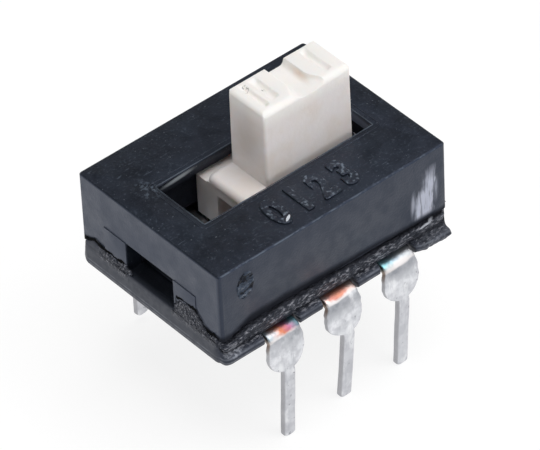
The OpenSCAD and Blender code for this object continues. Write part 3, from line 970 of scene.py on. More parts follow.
@dataclass
class Housing:
    """The black cover: the moulding, its sprue mark, the rim round the slot and the raised figures by it."""
    edge: float = 0.03
    figures: str = "0123"
    figure_size: float = 1.75
    figure_narrow: float = 0.72
    figure_step: float = 0.98
    figure_rise: float = 0.04
    figure_bold: float = 0.06
    figure_bevel: float = 0.035
    figure_y: float = -2.5
    slot_x: float = 0.12
    slot_half_l: float = 3.65
    slot_half_w: float = 1.25
    slot_r: float = 0.02
    rim_count: int = 420

    def build(self, black: Material, rim_highlight: Material, scar: Material,
              figure_glint: Material) -> None:
        """Build and place the cover's pieces.

        Args:
            black: Finish of the moulding.
            rim_highlight: Finish of the ridge next to the slot, pale as a painted highlight.
            scar: Finish of torn spots.
            figure_glint: Finish of the painted glint on the first figure's edge.
        """
        made = copy_of("housing", "housing_moulding", self.edge)
        Piece(made, "body", "housing_plastic", black).place("housing")
        _, high = corners_mm("housing")
        Blister("sprue_mark", Face.FRONT, across=-3.84, up=high[2] - 0.95, plane=high[1], half_wide=0.37,
                half_high=0.57, turn=-0.12, rough=0.035).build(scar)
        # painted highlight: a small pale dome on the first figure's edge stands for its glint
        Blister("chip_on_top", Face.TOP, across=-1.4, up=-2.96, plane=high[2] + 0.07, half_wide=0.055,
                half_high=0.18, turn=-1.03, rise=0.05, rough=0.0, rim=0.0).build(figure_glint)
        # painted highlight: the ridge next to the slot is pale nylon, for the light its edge catches
        self.rim_line("slot_rim", off=0.02, half=0.022, finish=rim_highlight)
        self.rim_line("slot_witness_line", off=0.21, half=0.02, finish=black)
        self.raised_figures(black)

    def rim_line(self, name: str, off: float, half: float, finish: Material) -> None:
        """Low ridge round the slot: a flat ellipse carried along a rounded rectangle, thinned here and there.

        Args:
            name: Name of the piece.
            off: Distance from the slot's edge.
            half: Half of the ridge's width.
            finish: Material of the ridge.
        """
        top = corners_mm("housing")[1][2]
        sizes = (self.slot_half_l + off, self.slot_half_w + off, self.slot_r + off)
        path, normal = outline(*sizes, count=self.rim_count)
        angle = np.linspace(0, 2 * np.pi, 8, endpoint=False)
        around = np.arange(self.rim_count)[:, None] * 0.05
        thick = 1 + 0.35 * value_noise(around * 1.7, around * 0 + off * 10, 3)
        out, rise = half * thick * np.cos(angle), 0.45 * half * thick * np.sin(angle)
        xy = path[:, None, :] + out[..., None] * normal[:, None, :] + [self.slot_x, 0]
        points = np.concatenate([xy, (top + rise)[..., None]], axis=-1)
        made = grid_piece(name, points, wrap_u=True, wrap_v=True, sharp_deg=180)
        Piece(made, "body", "housing_plastic", finish).place()

    def raised_figures(self, black: Material) -> None:
        """Plain raised figures along the near side of the slot.

        Args:
            black: Finish of the moulding.
        """
        top = corners_mm("housing")[1][2]
        for number, figure in enumerate(self.figures):
            words = bpy.data.curves.new("figure", "FONT")
            words.body = figure
            words.size = self.figure_size * MM
            words.offset = self.figure_bold * MM
            words.extrude = self.figure_rise * MM
            words.bevel_depth = self.figure_bevel * MM
            words.align_x = "CENTER"
            words.align_y = "CENTER"
            holder = linked("figure_curve", words)
            bpy.context.view_layer.update()
            solid = holder.evaluated_get(bpy.context.evaluated_depsgraph_get())
            mesh = bpy.data.meshes.new_from_object(solid)
            bpy.data.objects.remove(holder)
            place = (number - (len(self.figures) - 1) / 2) * self.figure_step
            mesh.transform(Matrix.Diagonal((self.figure_narrow, 1, 1, 1)))
            mesh.transform(Matrix.Translation((place * MM, self.figure_y * MM, top * MM)))
            mesh.name = f"raised_figure_{figure}"
            mesh.materials.clear()
            Piece(linked(mesh.name, mesh), "body", "housing_plastic", black).place()


@dataclass
class Base:
    """The black floor and the rough seam where the housing was pressed over it."""
    arch: Arch
    edge: float = 0.04
    pitch: float = 2.54
    strip_half: float = 0.75
    # how far the moulding is cut back behind the skin, at the ends and at the sides
    cut_x: float = 0.2
    cut_y: float = 0.25
    # the skin's path inside the base's outline, its corner radius, its points round and up, and its depth
    inset: float = 0.1
    corner: float = 0.32
    around: int = 1100
    rows: int = 45
    depth: float = 0.3
    # fullness of the near side's bead, what the right end adds to it, and how far that end is worn back
    near_swell: float = 0.15
    end_swell: float = 0.15
    wear_and_edge_highlight: float = 0.3
    # crumbs on the torn edges, and in the heaps
    strewn: int = 150
    heaped: int = 60
    # the skin's section on the long sides, from foot to head: place up the surface, how far out, how high
    places: tuple = (0, 0.03, 0.07, 0.12, 0.18, 0.24, 0.3, 0.35, 0.42, 0.5, 0.64, 0.76, 0.84, 0.92, 1)
    long_out: tuple = (-0.12, -0.04, 0.03, 0.075, 0.095, 0.08, 0.02, -0.09, -0.04, 0.02, 0.035, 0.03, 0, -0.08,
                       -0.2)
    long_foot: tuple = (0, 0.01, 0.05, 0.12, 0.21, 0.3, 0.37, 0.41, 0.45, 0.45, 0.45, 0.45, 0.45, 0.45, 0.45)
    long_climb: tuple = (0, 0, 0, 0, 0, 0, 0, 0, 0, 0.15, 0.45, 0.76, 0.92, 1, 1)
    # the same on the ends
    end_out: tuple = (-0.12, 0, 0.06, 0.09, 0.095, 0.095, 0.095, 0.09, 0.085, 0.08, 0.07, 0.05, 0.02, -0.04,
                      -0.1)
    end_up: tuple = (0, 0.01, 0.04, 0.12, 0.3, 0.55, 0.78, 0.88, 0.92, 0.94, 0.96, 0.98, 0.99, 1.0, 1.0)
    # how far the ends' torn edge climbs over the seam: high beside the windows' near side, nothing below them
    climb_y: tuple = (-3.5, -3.0, -2.7, -2.35, -1.35, -1.27, 1.27, 1.35, 2.9, 3.5)
    climb_z: tuple = (0.06, 0.12, 0.3, 0.6, 0.58, 0, 0, 0.22, 0.24, 0.06)

    def build(self, black: Material, torn: Material, dull: Material,
              hollow: Material) -> None:
        """Build and place the base's pieces.

        Args:
            black: Finish of the moulding.
            torn: Finish of the skin.
            dull: Finish of the crumbs.
            hollow: Finish of the black ribbons painted as shade in the crevices.
        """
        reach = corners_mm("base")[1]
        x, y = reach[0] - self.cut_x, reach[1] - self.cut_y
        cuts = (((1, 0, 0), x), ((-1, 0, 0), x), ((0, 1, 0), y), ((0, -1, 0), y))
        Piece(copy_of("base", "base_moulding", self.edge, cuts), "body", "base_plastic", black).place("base")
        self.skin(torn)
        self.crumbs(dull)
        self.crevice_shade_ribbons(hollow)

    def climb(self, y: np.ndarray) -> np.ndarray:
        """Height of the ends' torn edge over the seam, with seeded raggedness.

        Args:
            y: Places across the rows.

        Returns:
            The height at each place.
        """
        ragged = 0.05 * value_noise(y * 3 + 40, y * 0, 17) + 0.03 * value_noise(y * 9 + 40, y * 0, 18)
        plain = np.interp(y, self.climb_y, self.climb_z)
        return plain + ragged * np.clip(plain / 0.1, 0, 1)

    def skin(self, torn: Material) -> None:
        """Closed section carried round the base.

        It is the plain section, roughened, and taken back where a strip comes out. The right end is worn back
        towards the near side. The section's back lies inside the base.

        Args:
            torn: Finish of the skin.
        """
        floor, reach = corners_mm("base")[0][2], corners_mm("base")[1]
        path, normal = outline(reach[0] - self.inset, reach[1] - self.inset, self.corner, self.around)
        side = smooth_step(np.abs(normal[:, 1]), 0.2, 0.9)[:, None]
        v = np.linspace(0, 1, self.rows)[None, :]
        out, rise = self.section(path, side, v, corners_mm("housing")[0][2] - floor)
        out, rise = self.roughen(path, side, v, out, rise)
        away = np.min(np.abs(path[:, :1] - self.pitch * np.array([-1, 0, 1])), axis=1, keepdims=True)
        strip = (1 - smooth_step(away, self.strip_half - 0.02, self.strip_half + 0.03)) * side * (v < 0.36)
        out = out * (1 - strip) - 0.08 * strip
        rise = rise * (1 - strip) + (0.34 + 0.2 * v) * strip
        out = np.hstack([out, np.full((self.around, 2), -self.depth)])
        rise = np.hstack([rise, rise[:, -1:] - 0.05, rise[:, :1] + 0.02])
        xy = path[:, None, :] + out[..., None] * normal[:, None, :]
        points = np.concatenate([xy, floor + np.clip(rise, 0, None)[..., None]], axis=-1)
        wear_and_edge_highlight = self.wear_and_edge_highlight * smooth_step(-points[..., 1], 3.2, 3.8)
        points[..., 0] = np.clip(points[..., 0], 0.001 - reach[0], reach[0] - 0.001 - wear_and_edge_highlight)
        up = np.hstack([np.broadcast_to(v, (self.around, self.rows)), np.ones((self.around, 2))])
        uv = np.stack([np.broadcast_to(side, up.shape), up], axis=-1)
        made = grid_piece("base_skin", points, wrap_u=True, wrap_v=True, sharp_deg=70, uv=uv)
        Piece(made, "body", "base_plastic", torn).place()

    def section(self, path: np.ndarray, side: np.ndarray, v: np.ndarray,
                seam: float) -> tuple[np.ndarray, np.ndarray]:
        """Plain section: the curve of the long sides and that of the ends, blended over the corners.

        On the long sides it is a rounded bead, a crease and a ledge that stops short of the arch above it; on
        the ends it is the base's wall and its torn upper edge.

        Args:
            path: Points round the base.
            side: 1 on the long sides and 0 on the ends, for each point.
            v: Places up the skin, from 0 to 1.
            seam: Height of the seam over the base's floor.

        Returns:
            How far out and how high the skin lies.
        """
        arch = self.arch.height(path[:, 0])[:, None]
        head = seam + arch - (0.16 + 0.5 * arch)
        foot = np.interp(v, self.places, self.long_foot)
        climb = np.interp(v, self.places, self.long_climb)
        long_rise = foot + climb * (head - foot)
        torn_edge = self.climb(path[:, 1:]) * smooth_step(v, 0.45, 0.9)
        end_rise = seam * np.interp(v, self.places, self.end_up) + torn_edge
        long_out, end_out = (np.interp(v, self.places, line) for line in (self.long_out, self.end_out))
        return side * long_out + (1 - side) * end_out, side * long_rise + (1 - side) * end_rise

    def roughen(self, path: np.ndarray, side: np.ndarray, v: np.ndarray, out: np.ndarray,
                rise: np.ndarray) -> tuple[np.ndarray, np.ndarray]:
        """Add seeded lumps to the ledge, and swell the near side's bead, most of all at the right end.

        Args:
            path: Points round the base.
            side: 1 on the long sides and 0 on the ends, for each point.
            v: Places up the skin, from 0 to 1.
            out: How far out the plain section lies.
            rise: How high it lies.

        Returns:
            How far out and how high the skin lies.
        """
        x, y = path[:, :1], path[:, 1:]
        u = np.arange(self.around)[:, None] * 0.028
        lumps = value_noise(u * 3, v * 6, 11) + 0.7 * value_noise(u * 8, v * 13, 12)
        lumps = lumps + 0.4 * value_noise(u * 19, v * 25, 13)
        # the lumps stop below the windows and towards the back of the ends
        ledge = smooth_step(v, 0.38, 0.48) * (1 - smooth_step(v, 0.86, 1.0))
        ledge = ledge * smooth_step(np.abs(y), 1.1, 1.3) * (1 - (1 - side) * smooth_step(y, 2.3, 2.8))
        waves = 0.035 * value_noise(u * 4, v * 4 + 7, 14) + 0.02 * value_noise(u * 13, v * 9, 15)
        rise = rise + waves * ledge
        near = side * (y < 0)
        bead = 1 - smooth_step(v, 0.28, 0.42)
        swell = self.near_swell + smooth_step(x, 3.25, 3.7) * (self.end_swell + 0.03 * lumps)
        out = out + lumps * 0.024 * ledge + near * side ** 2 * bead * swell
        return out + side * bead * 0.012 * value_noise(u * 2, v * 3, 16), rise

    def crumbs(self, dull: Material) -> None:
        """Crumbs of plastic on the torn edge beside each window: small balls, made uneven by noise.

        Most lie on the near side, and all are nearer the window than the corner. A heap lies in each window's
        far lower corner.

        Args:
            dull: Finish of the crumbs.
        """
        low, high = corners_mm("housing")
        seeds = np.random.default_rng(8)
        near = seeds.random(self.strewn) < 0.85
        along = seeds.random(self.strewn) ** 1.3
        beside = np.where(near, -1.3 - 1.7 * along, 1.3 + 0.5 * along)
        up = low[2] - 0.08 + (0.06 + self.climb(beside)) * seeds.random(self.strewn)
        end = np.where(seeds.random(self.strewn) < 0.7, low[0], high[0])
        size = 0.03 + 0.055 * seeds.random(self.strewn) ** 2
        into = seeds.random(self.heaped)
        beside = np.concatenate([beside, 1.28 - 0.3 * into])
        up = np.concatenate([up, low[2] + (0.32 - 0.2 * into) * seeds.random(self.heaped)])
        end = np.concatenate([end, np.where(np.arange(self.heaped) % 2 == 0, low[0], high[0])])
        size = np.concatenate([size, 0.055 + 0.03 * seeds.random(self.heaped)])
        middle = np.stack([end, beside, up], axis=-1)
        turn = np.linspace(0, 2 * np.pi, 12, endpoint=False)[:, None]
        tilt = np.linspace(0, np.pi, 8)[None, :]
        ball = np.stack([0.6 * np.sin(tilt) * np.cos(turn), np.sin(tilt) * np.sin(turn),
                         np.broadcast_to(np.cos(tilt), (12, 8))], axis=-1)
        apart = 7 * np.arange(len(size))[:, None, None]
        push = 1 + 0.35 * value_noise(ball[..., 0] * 2 + 9 + apart, ball[..., 2] * 2 + 9, 21)
        points = middle[:, None, None] + size[:, None, None, None] * push[..., None] * ball
        points[..., 0] = np.clip(points[..., 0], cad_bounds[0][0] / MM + 0.01, cad_bounds[1][0] / MM - 0.01)
        made = grid_piece("torn_crumbs", points, wrap_u=True, sharp_deg=60)
        Piece(made, "body", "housing_plastic", dull).place()

    def crevice_shade_ribbons(self, hollow: Material) -> None:
        """Painted shade in the crevice above the ends' torn edge: wavy black ribbons a hair off the wall, beside
        each window.

        Args:
            hollow: Finish of the tears.
        """
        low, high = corners_mm("housing")
        v = np.linspace(-1, 1, 7)[None, :]
        ribbons = []
        for start, stop in ((-3.5, -1.3), (1.3, 3.45)):
            y = np.linspace(start, stop, 120)[:, None]
            thick = 0.06 + 0.035 * value_noise(y * 4 + 40, y * 0, 19)
            thick = thick + 0.02 * value_noise(y * 14 + 40, y * 0, 20)
            z = low[2] + self.climb(y) + 0.05 + thick * v
            for end in (low[0] - 0.004, high[0] + 0.004):
                ribbons.append(np.stack([np.full_like(z, end), np.broadcast_to(y, z.shape), z], axis=-1))
        made = grid_piece("open_tears", np.array(ribbons), sharp_deg=180)
        Piece(made, "body", "housing_plastic", hollow).place()


@dataclass
class Terminal:
    """One strip: contact pad, leg, foot, bend, round shoulder and pin, swept as one rounded flat section."""
    row: Row
    column: Column
    lean_deg: float
    splay_deg: float = 3.0
    thick: float = 0.28
    edge: float = 0.08
    # distances of the pad's inner end and of the leg from the centre plane, and radii of the strip's bends
    pad_start: float = 0.45
    leg: float = 2.59
    crease: float = 0.17
    bend: float = 0.26
    pin_bend: float = 0.5
    neck: float = 3.03
    # half widths of the pad, the leg, the foot, the bend and the pin
    pad_half: float = 1.05
    leg_half: float = 0.6
    foot_half: float = 0.68
    bend_half: float = 0.76
    pin_half: float = 0.24
    # the shoulder's radius, and its centre's distance along the strip from the middle of the bend
    shoulder: float = 0.77
    shoulder_down: float = 0.76
    tip_chamfer: float = 0.09
    tip: float = 0.0
    aside: float = 0.04

    @property
    def node(self) -> str:
        """Name of the CAD node that the strip stands for."""
        return f"terminal_{self.row.name.lower()}_{self.column.name.lower()}"

    def line(self) -> tuple[np.ndarray, np.ndarray, np.ndarray, list[float]]:
        """Middle line of the strip in the (distance from the centre plane, height) plane.

        Returns:
            What bent_path gives.
        """
        low, high = corners_mm(self.node)
        reach = max(abs(low[1]), abs(high[1]))
        splay, lean = math.radians(self.splay_deg), math.radians(self.lean_deg)
        neck_out = reach - self.thick / 2 / math.cos(splay)
        pad_z = high[2] - self.thick / 2
        foot_z = corners_mm("base")[0][2] + 0.02 + self.thick / 2
        corner_out = neck_out - (foot_z - self.neck) * math.tan(splay)
        tip_out = neck_out - (self.neck - self.tip) * math.tan(lean)
        corners = [(self.pad_start, pad_z), (self.leg, pad_z), (self.leg, foot_z), (corner_out, foot_z),
                   (neck_out, self.neck), (tip_out, self.tip)]
        return bent_path(corners, [self.crease, self.crease, self.bend, self.pin_bend], step=0.03)

    def half_width(self, s: np.ndarray, middles: list[float], heart: float) -> np.ndarray:
        """Half of the strip's width along its length.

        It is that of the pad, leg or foot, then the larger of the strip's and the shoulder's circle, then a
        smooth maximum of the circle and the pin, and it narrows by the chamfers at the tip.

        Args:
            s: Lengths along the strip.
            middles: Lengths at the middles of its bends.
            heart: Length at the shoulder's centre.

        Returns:
            The half width at each length.
        """
        disc = np.sqrt(np.clip(self.shoulder ** 2 - (s - heart) ** 2, 0, None))
        # the pad ends before the first bend, the foot starts after the second, the neck lies past the third
        places = [0, middles[0] - 0.2, middles[0] - 0.1, middles[1] + 0.12, middles[1] + 0.2,
                  middles[2] + 0.1, middles[2] + 0.35, heart, heart + 0.01]
        halves = [self.pad_half, self.pad_half, self.leg_half, self.leg_half, self.foot_half, self.foot_half,
                  self.bend_half, self.bend_half, self.pin_half]
        plain = np.interp(s, places, halves)
        joined = (disc + plain + np.sqrt((disc - plain) ** 2 + 0.03 ** 2)) / 2
        half = np.where(s < heart, np.maximum(disc, plain), joined)
        return np.minimum(half, self.pin_half - self.tip_chamfer + s[-1] - s)

    def section(self) -> tuple[np.ndarray, np.ndarray, np.ndarray]:
        """Section of the strip: a rectangle with quarter-round corners, as shares of its width and as depths.

        Returns:
            Share of the flat half width, rounding added to it, and depth, at each point of the section.
        """
        r, t = self.edge, self.thick / 2
        quarter = np.linspace(0, np.pi / 2, 5)
        flat = np.linspace(1, -1, 9)[1:-1]
        cos, sin, ones = np.cos(quarter), np.sin(quarter), np.ones(5)
        share = np.concatenate([ones, flat, -ones, -ones, flat[::-1], ones])
        extra = r * np.concatenate([cos, flat * 0, -sin, -cos, flat * 0, sin])
        depth = np.concatenate([t - r + r * sin, flat * 0 + t, t - r + r * cos, r - t - r * sin, flat * 0 - t,
                                r - t - r * cos])
        return share, extra, depth

    def build(self, tin: Material) -> None:
        """Sweep the section along the line; the shoulder's faces are coined, a little lower towards the rim.

        Args:
            tin: Finish of the strip.
        """
        points, ahead, s, middles = self.line()
        heart = middles[2] + self.shoulder_down
        share, extra, deep = self.section()
        seed = 31 + 7 * (self.row.value + 1) + self.column.value
        wobble = 0.01 * value_noise(s * 1.7 + seed, s * 0, seed)
        round_part = 1 - smooth_step(s, heart + 0.7, heart + 0.9)
        by_shoulder = smooth_step(s, heart - 0.8, heart - 0.6) * round_part
        ragged = 0.016 * value_noise(s * 7 + seed, s * 0, seed + 1) * by_shoulder
        half = self.half_width(s, middles, heart)
        across = (half - self.edge + ragged)[:, None] * share + extra
        crown = 0.028 * by_shoulder[:, None] * np.clip(np.abs(share), 0, 1) ** 3
        blunt = 1 - 0.25 * np.exp(-((s[-1] - s) / 0.05) ** 2)
        depth = (np.sign(deep) * (np.abs(deep) - crown)) * blunt[:, None]
        side = np.stack([-ahead[:, 1], ahead[:, 0]], axis=-1)
        reach = np.max(np.abs(np.array(corners_mm(self.node))[:, 1]))
        out = np.minimum(points[:, :1] + side[:, :1] * (depth + wobble[:, None]), reach)
        rise = points[:, 1:] + side[:, 1:] * (depth + wobble[:, None])
        centre = np.mean([corner[0] for corner in corners_mm(self.node)])
        centre = centre + self.aside * smooth_step(s, heart + 0.2, heart + 0.9)[:, None]
        grid = np.stack([centre + across, self.row.value * out, np.clip(rise, 0, None)], axis=-1)
        uv = np.stack([across, np.broadcast_to((s - middles[2])[:, None], across.shape)], axis=-1)
        made = grid_piece(self.node.replace("terminal", "strip"), grid, wrap_v=True, cap=True, uv=uv)
        Piece(made, "body", "terminal_metal", tin).place(self.node)


@dataclass
class Slider:
    """The cream slider: carriage from the CAD solid, its raised plate, and the knob as one carved surface."""
    edge: float = 0.04
    plate_drop: float = 0.4
    plate_l: float = 1.05
    plate_half: float = 0.99
    plate_round: float = 0.24
    length: float = 3.8
    width: float = 1.85
    taper: float = 0.02
    near_round: float = 0.24
    far_round: float = 0.05
    left_round: float = 0.15
    right_round: float = 0.12
    corner: float = 0.12
    valley_start: float = 1.55
    valley_end: float = 2.42
    valley_depth: float = 0.27
    groove_depth: float = 0.13
    # middle, width and blind end (distance from the centre line) of each grip groove
    grooves: tuple = ((0.45, 0.24, 0.62), (0.93, 0.34, 0.5), (3.12, 0.3, 0.6))

    def build(self, cream: Material) -> None:
        """Build and place the slider's three pieces.

        Args:
            cream: Finish of all.
        """
        plate = corners_mm("housing")[1][2] - self.plate_drop
        below_plate = (((0, 0, 1), plate - self.plate_round),)
        carriage = copy_of("slider", "slider_carriage", self.edge, below_plate)
        for made in (carriage, self.plate(plate), self.knob(plate - 0.02)):
            Piece(made, "slider", "slider_plastic", cream).place("slider")

    @classmethod
    def knob_left(cls) -> float:
        """Left end of the knob, one plate's length from the slider's left end."""
        return corners_mm("slider")[0][0] + cls.plate_l

    def plate(self, top: float) -> Object:
        """Plate round the knob's foot: outline rings that climb a quarter circle and run in over the top.

        Args:
            top: Height of its upper face.

        Returns:
            The plate.
        """
        left = corners_mm("slider")[0][0]
        half_l = (self.plate_l + self.length) / 2
        turn = np.linspace(0, np.pi / 2, 9)
        inset = np.concatenate([[0], self.plate_round * (1 - np.cos(turn)), [0.6, self.plate_half - 1e-4]])
        rise = np.concatenate([[-0.1], self.plate_round * np.sin(turn), [self.plate_round] * 2])
        rings = [outline(half_l - d, self.plate_half - d, max(0.26 - d, 1e-5), count=320)[0] for d in inset]
        rings = np.array(rings)
        height = np.broadcast_to((top - self.plate_round + rise)[:, None, None], (*rings.shape[:2], 1))
        points = np.concatenate([rings + [left + half_l, 0], height], axis=-1)
        return grid_piece("slider_plate", points, wrap_v=True, sharp_deg=50)

    def carved(self, x: np.ndarray, y: np.ndarray) -> np.ndarray:
        """Depth of the knob's top below its crest.

        Grooves are flattened parabolas that die out before the near side and nearly so at the far one. The
        valley falls as a smooth step from the left crest and climbs the right crest as a quarter of a flattened
        circle; towards the near side both grow longer and gentler.

        Args:
            x: Distance from the knob's left end.
            y: Distance from its centre line.

        Returns:
            The depth at each place.
        """
        depth = np.zeros_like(x)
        for middle, width, blind in self.grooves:
            share = np.clip(1 - ((x - middle) / (width / 2)) ** 2, 0, None) ** 0.7
            share = share * smooth_step(y, -blind, 0.16 - blind) * (1 - 0.8 * smooth_step(y, 0.6, 0.85))
            depth = np.maximum(depth, self.groove_depth * share)
        near = smooth_step(-y, 0.1, 0.9)
        start, end = self.valley_start - 0.3 * near, self.valley_end + 0.3 * near
        fall = np.clip((x - start) / (0.24 + 0.3 * near), 0, 1)
        fall = fall * fall * (3 - 2 * fall)
        climb = np.clip((x - end) / (0.22 + 0.75 * near) + 1, 0, 1)
        valley = (self.valley_depth - 0.05 * near) * fall * np.sqrt(np.clip(1 - climb ** 3, 0, 1))
        return np.maximum(depth, valley)

    def knob(self, plate: float) -> Object:
        """Outline rings: up the wall, then inwards over the top.

        Over the top, the height is the least of the carved top and of the quarter circles that round the near,
        far and end edges, each a function of the distance from its own side. The wall leans in by its taper.

        Args:
            plate: Height of the plate, on which the knob stands.

        Returns:
            The knob.
        """
        top = corners_mm("slider")[1][2]
        count = 640
        foot, normal = outline(self.length / 2, self.width / 2, self.corner, count)
        # rings close together near the edge, then evenly spaced, then one that closes in the middle
        inset = np.concatenate([[0], 0.004 * 1.5 ** np.arange(9), np.arange(0.15, self.width / 2 - 0.03, 0.028),
                                [self.width / 2 - self.taper - 1e-4]])
        rings = np.array([outline(self.length / 2 - self.taper - d, self.width / 2 - self.taper - d,
                                  max(self.corner - d, 1e-5), count)[0] for d in inset])
        x, y = rings[..., 0] + self.length / 2, rings[..., 1]
        heights = [top - self.carved(x, y)]
        for gap, radius in ((y + self.width / 2, self.near_round), (self.width / 2 - y, self.far_round),
                            (x, self.left_round), (self.length - x, self.right_round)):
            inward = np.clip(radius + self.taper - gap, 0, radius)
            heights.append(top - radius + np.sqrt(np.clip(radius ** 2 - inward ** 2, 0, None)))
        z = np.min(heights, axis=0)
        share = np.linspace(0, 1, 14)[:-1, None] ** 0.8
        wall_xy = foot - self.taper * share[..., None] * normal
        wall = np.concatenate([wall_xy, (plate + (z[0] - plate) * share)[..., None]], axis=-1)
        points = np.concatenate([wall, np.concatenate([rings, z[..., None]], axis=-1)], axis=0)
        points[..., 0] += self.knob_left() + self.length / 2
        return grid_piece("slider_knob", points, wrap_v=True, sharp_deg=50)


@dataclass
class Innards:
    """The hidden metal: bridges, springs and balls keep their CAD shapes and get their own metals."""

    def build(self) -> None:
        """Dress the CAD nodes."""
        finishes = {"bridge": PlainMetal("rolled_brass", "#d9b777", 0.28).make(),
                    "spring": PlainMetal("drawn_spring_wire", "#b9bcc2", 0.3).make(),
                    "ball": PlainMetal("ground_steel_ball", "#d8dade", 0.12).make()}
        for node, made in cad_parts.items():
            for word, finish in finishes.items():
                if word in node:
                    made.data.materials.clear()
                    made.data.materials.append(finish)
                    log.info("%s: dressed in %s", node, finish.name)


# ---------------------------------------------------------------- studio

@dataclass
class Studio:
    """White table, soft light from above and in front, and the camera."""
    # the camera: its angles in degrees, and its distance, its shifts and the height of its aim in millimetres
    azimuth: float = -38.756
    elevation: float = 41.592
    roll: float = -2.877
    distance: float = 182.86
    shift_right: float = 0.1288
    shift_up: float = 0.6322
    aim: float = 4.5
    # focal length and sensor width, in millimetres
    lens: float = 362.90667
    sensor: float = 36.0

    def build(self) -> None:
        """Build the table, the world, the lamps and the camera."""
        self.table()
        self.world()
        self.lamp("key", (0.05, -0.06, 0.5), 0.45, 1.95)
        self.lamp("front", (0.28, -0.5, 0.42), 0.6, 1.5)
        self.lamp("side", (-0.5, -0.08, 0.3), 0.35, 0.14)
        self.camera()

    def table(self) -> None:
        """White table that takes the part's shadow and shows white to the eye and in reflections."""
        mesh = bpy.data.meshes.new("table")
        mesh.from_pydata([(-1, -1, 0), (1, -1, 0), (1, 1, 0), (-1, 1, 0)], [], [(0, 1, 2, 3)])
        made = linked("table", mesh)
        material = bpy.data.materials.new("white_table")
        tree = bare_tree(material)
        # white to rays from the camera, mirror-like ones and transmitted ones; a plain grey floor to the rest
        path = add(tree, "LightPath").node.outputs
        seen = add(tree, "Math", path["Is Camera Ray"], path["Is Glossy Ray"], operation="MAXIMUM")
        seen = add(tree, "Math", seen, path["Is Transmission Ray"], operation="MAXIMUM")
        plain = add(tree, "BsdfDiffuse", (0.8, 0.8, 0.8, 1))
        faint = add(tree, "BsdfDiffuse", (0.2, 0.2, 0.2, 1))
        both = add(tree, "AddShader", faint, add(tree, "Emission", (1, 1, 1, 1), 0.84))
        add(tree, "OutputMaterial", add(tree, "MixShader", seen, plain, both))
        mesh.materials.append(material)

    def world(self) -> None:
        """White at the horizon, dim above it, so that the top face stays dark; white to the camera."""
        world = bpy.data.worlds.new("studio")
        bpy.context.scene.world = world
        tree = bare_tree(world)
        up = add(tree, "SeparateXYZ", add(tree, "TexCoord", out="Generated"), out=2)
        level = add(tree, "MapRange", up, 0.15, 0.5, 0.78, 0.075, interpolation_type="SMOOTHSTEP")
        strength = add(tree, "Math", level, add(tree, "LightPath", out="Is Camera Ray"), operation="MAXIMUM")
        add(tree, "OutputWorld", add(tree, "Background", (1, 1, 1, 1), strength))

    def lamp(self, name: str, place: tuple[float, float, float], size: float, watts: float) -> None:
        """Add a square soft lamp that faces the switch.

        Args:
            name: Name of the lamp.
            place: Its place, in metres.
            size: Its side, in metres.
            watts: Its power.
        """
        data = bpy.data.lights.new(name, "AREA")
        data.size = size
        data.energy = watts
        back = np.array(place) / np.linalg.norm(place)
        across = np.cross([0, 1, 0], back)
        across /= np.linalg.norm(across)
        linked(name, data).matrix_world = self.stand(across, np.cross(back, across), back, place)

    def stand(self, *columns: np.ndarray) -> Matrix:
        """Matrix whose columns are three unit directions, right, up and back, and a place in metres."""
        return Matrix([*np.stack(columns, axis=-1).tolist(), [0, 0, 0, 1]])

    def camera(self) -> None:
        """Camera on the given bearing, rolled about its axis and set off sideways and upwards."""
        az, el, roll = np.radians([self.azimuth, self.elevation, self.roll])
        back = np.array([math.sin(az) * math.cos(el), -math.cos(az) * math.cos(el), math.sin(el)])
        level = np.array([math.cos(az), math.sin(az), 0.0])
        above = np.cross(back, level)
        right = math.cos(roll) * level + math.sin(roll) * above
        up = math.cos(roll) * above - math.sin(roll) * level
        place = back * self.distance + right * self.shift_right + up * self.shift_up + [0, 0, self.aim]
        data = bpy.data.cameras.new("camera")
        data.sensor_width = self.sensor
        data.lens = self.lens
        data.clip_start = 0.01
        data.clip_end = 10.0
        made = linked("camera", data)
        made.matrix_world = self.stand(right, up, back, place * MM)
        bpy.context.scene.camera = made
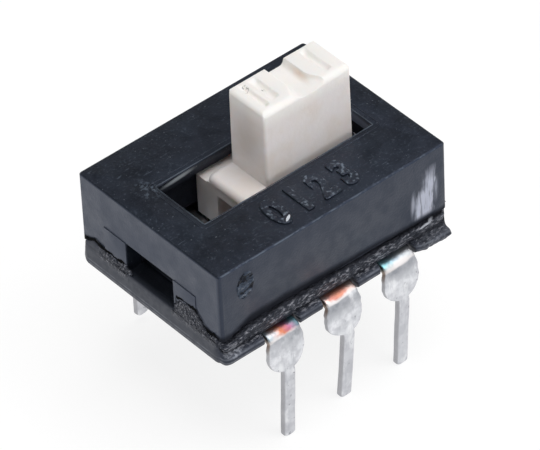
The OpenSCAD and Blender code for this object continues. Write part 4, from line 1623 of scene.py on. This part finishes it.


# each strip, where the painted reflection over its bend ends and where that band turns white, and its heat colours
# from the left
STRIPS = (
    (Terminal(Row.FRONT, Column.LEFT, 3), 0.05, 0.03,
     ("#a9bcc6", "#cdc6c8", "#cf8263", "#ae6f8c", "#6f97a3")),
    (Terminal(Row.FRONT, Column.CENTRE, 6, aside=0.13), 0.02, -0.03,
     ("#d6cdc9", "#d09084", "#d6947c", "#cc8c7c", "#c8b0a8")),
    (Terminal(Row.FRONT, Column.RIGHT, 4), 0.07, -0.02,
     ("#74b4bc", "#93bcc6", "#a9b6c1", "#c4ccd2", "#c4c5c8")),
    (Terminal(Row.BACK, Column.LEFT, 0, tip=0.3), 0.05, -0.05,
     ("#b4c4cc", "#cfcac6", "#cc9a82", "#ae92a6", "#aebac2")),
    (Terminal(Row.BACK, Column.CENTRE, 4), 0.03, -0.05,
     ("#93b6c2", "#cfcac6", "#c8927c", "#b294ac", "#a0b8c2")),
    (Terminal(Row.BACK, Column.RIGHT, 4), 0.05, -0.1,
     ("#c9bab0", "#cd9078", "#b98898", "#90a8b8", "#bcc4c8")),
)


def main() -> None:
    """Build the switch and the studio."""
    logging.basicConfig(level=logging.INFO, format="%(name)s: %(message)s")
    bpy.context.scene.view_settings.view_transform = "Standard"
    arch = Arch.from_housing()
    low, high = corners_mm("housing")
    black = HousingMoulding("black_nylon_housing", arch=arch, low=tuple(low), high=tuple(high)).make()
    # painted highlight: pale nylon for the ridge round the slot
    rim_highlight = BlackMoulding("black_nylon_rubbed", body="#363d44", bloom="#4c545c", wear=0.6).make()
    scar = TornPlastic("black_nylon_sprue", body="#02050a", grey="#2a323e", fleck="#4b5665", grain=0.24,
                       stops=(0.32, 0.42, 0.75, 1.0), gloss=0.2).make()
    # painted highlight: near-white nylon for the glint on the first figure
    figure_glint = BlackMoulding("black_nylon_chip", body="#ccd2d9", bloom="#dfe3e8", wear=0.0).make()
    Housing().build(black, rim_highlight, scar, figure_glint)
    floor = BlackMoulding("black_nylon_base", body="#15181d", bloom="#1f2329", roughness=0.38, wear=0.6).make()
    crumbs = TornPlastic("black_nylon_crumbs", grey="#1d2025", fleck="#4c4f56", depth=0.03).make()
    Base(arch).build(floor, SeamPlastic("black_nylon_pressed").make(), crumbs, CreviceShade("open_tear").make())
    for strip, end, white, heat in STRIPS:
        tin = TinPlate(strip.node.replace("terminal", "tin_plate"), heat=heat, end=end, white=white)
        strip.build(tin.make())
    top = corners_mm("slider")[1][2]
    Slider().build(CreamMoulding("cream_acetal", left=Slider.knob_left(), top=top).make())
    Innards().build()
    Studio().build()


if __name__ == "__main__":
    main()
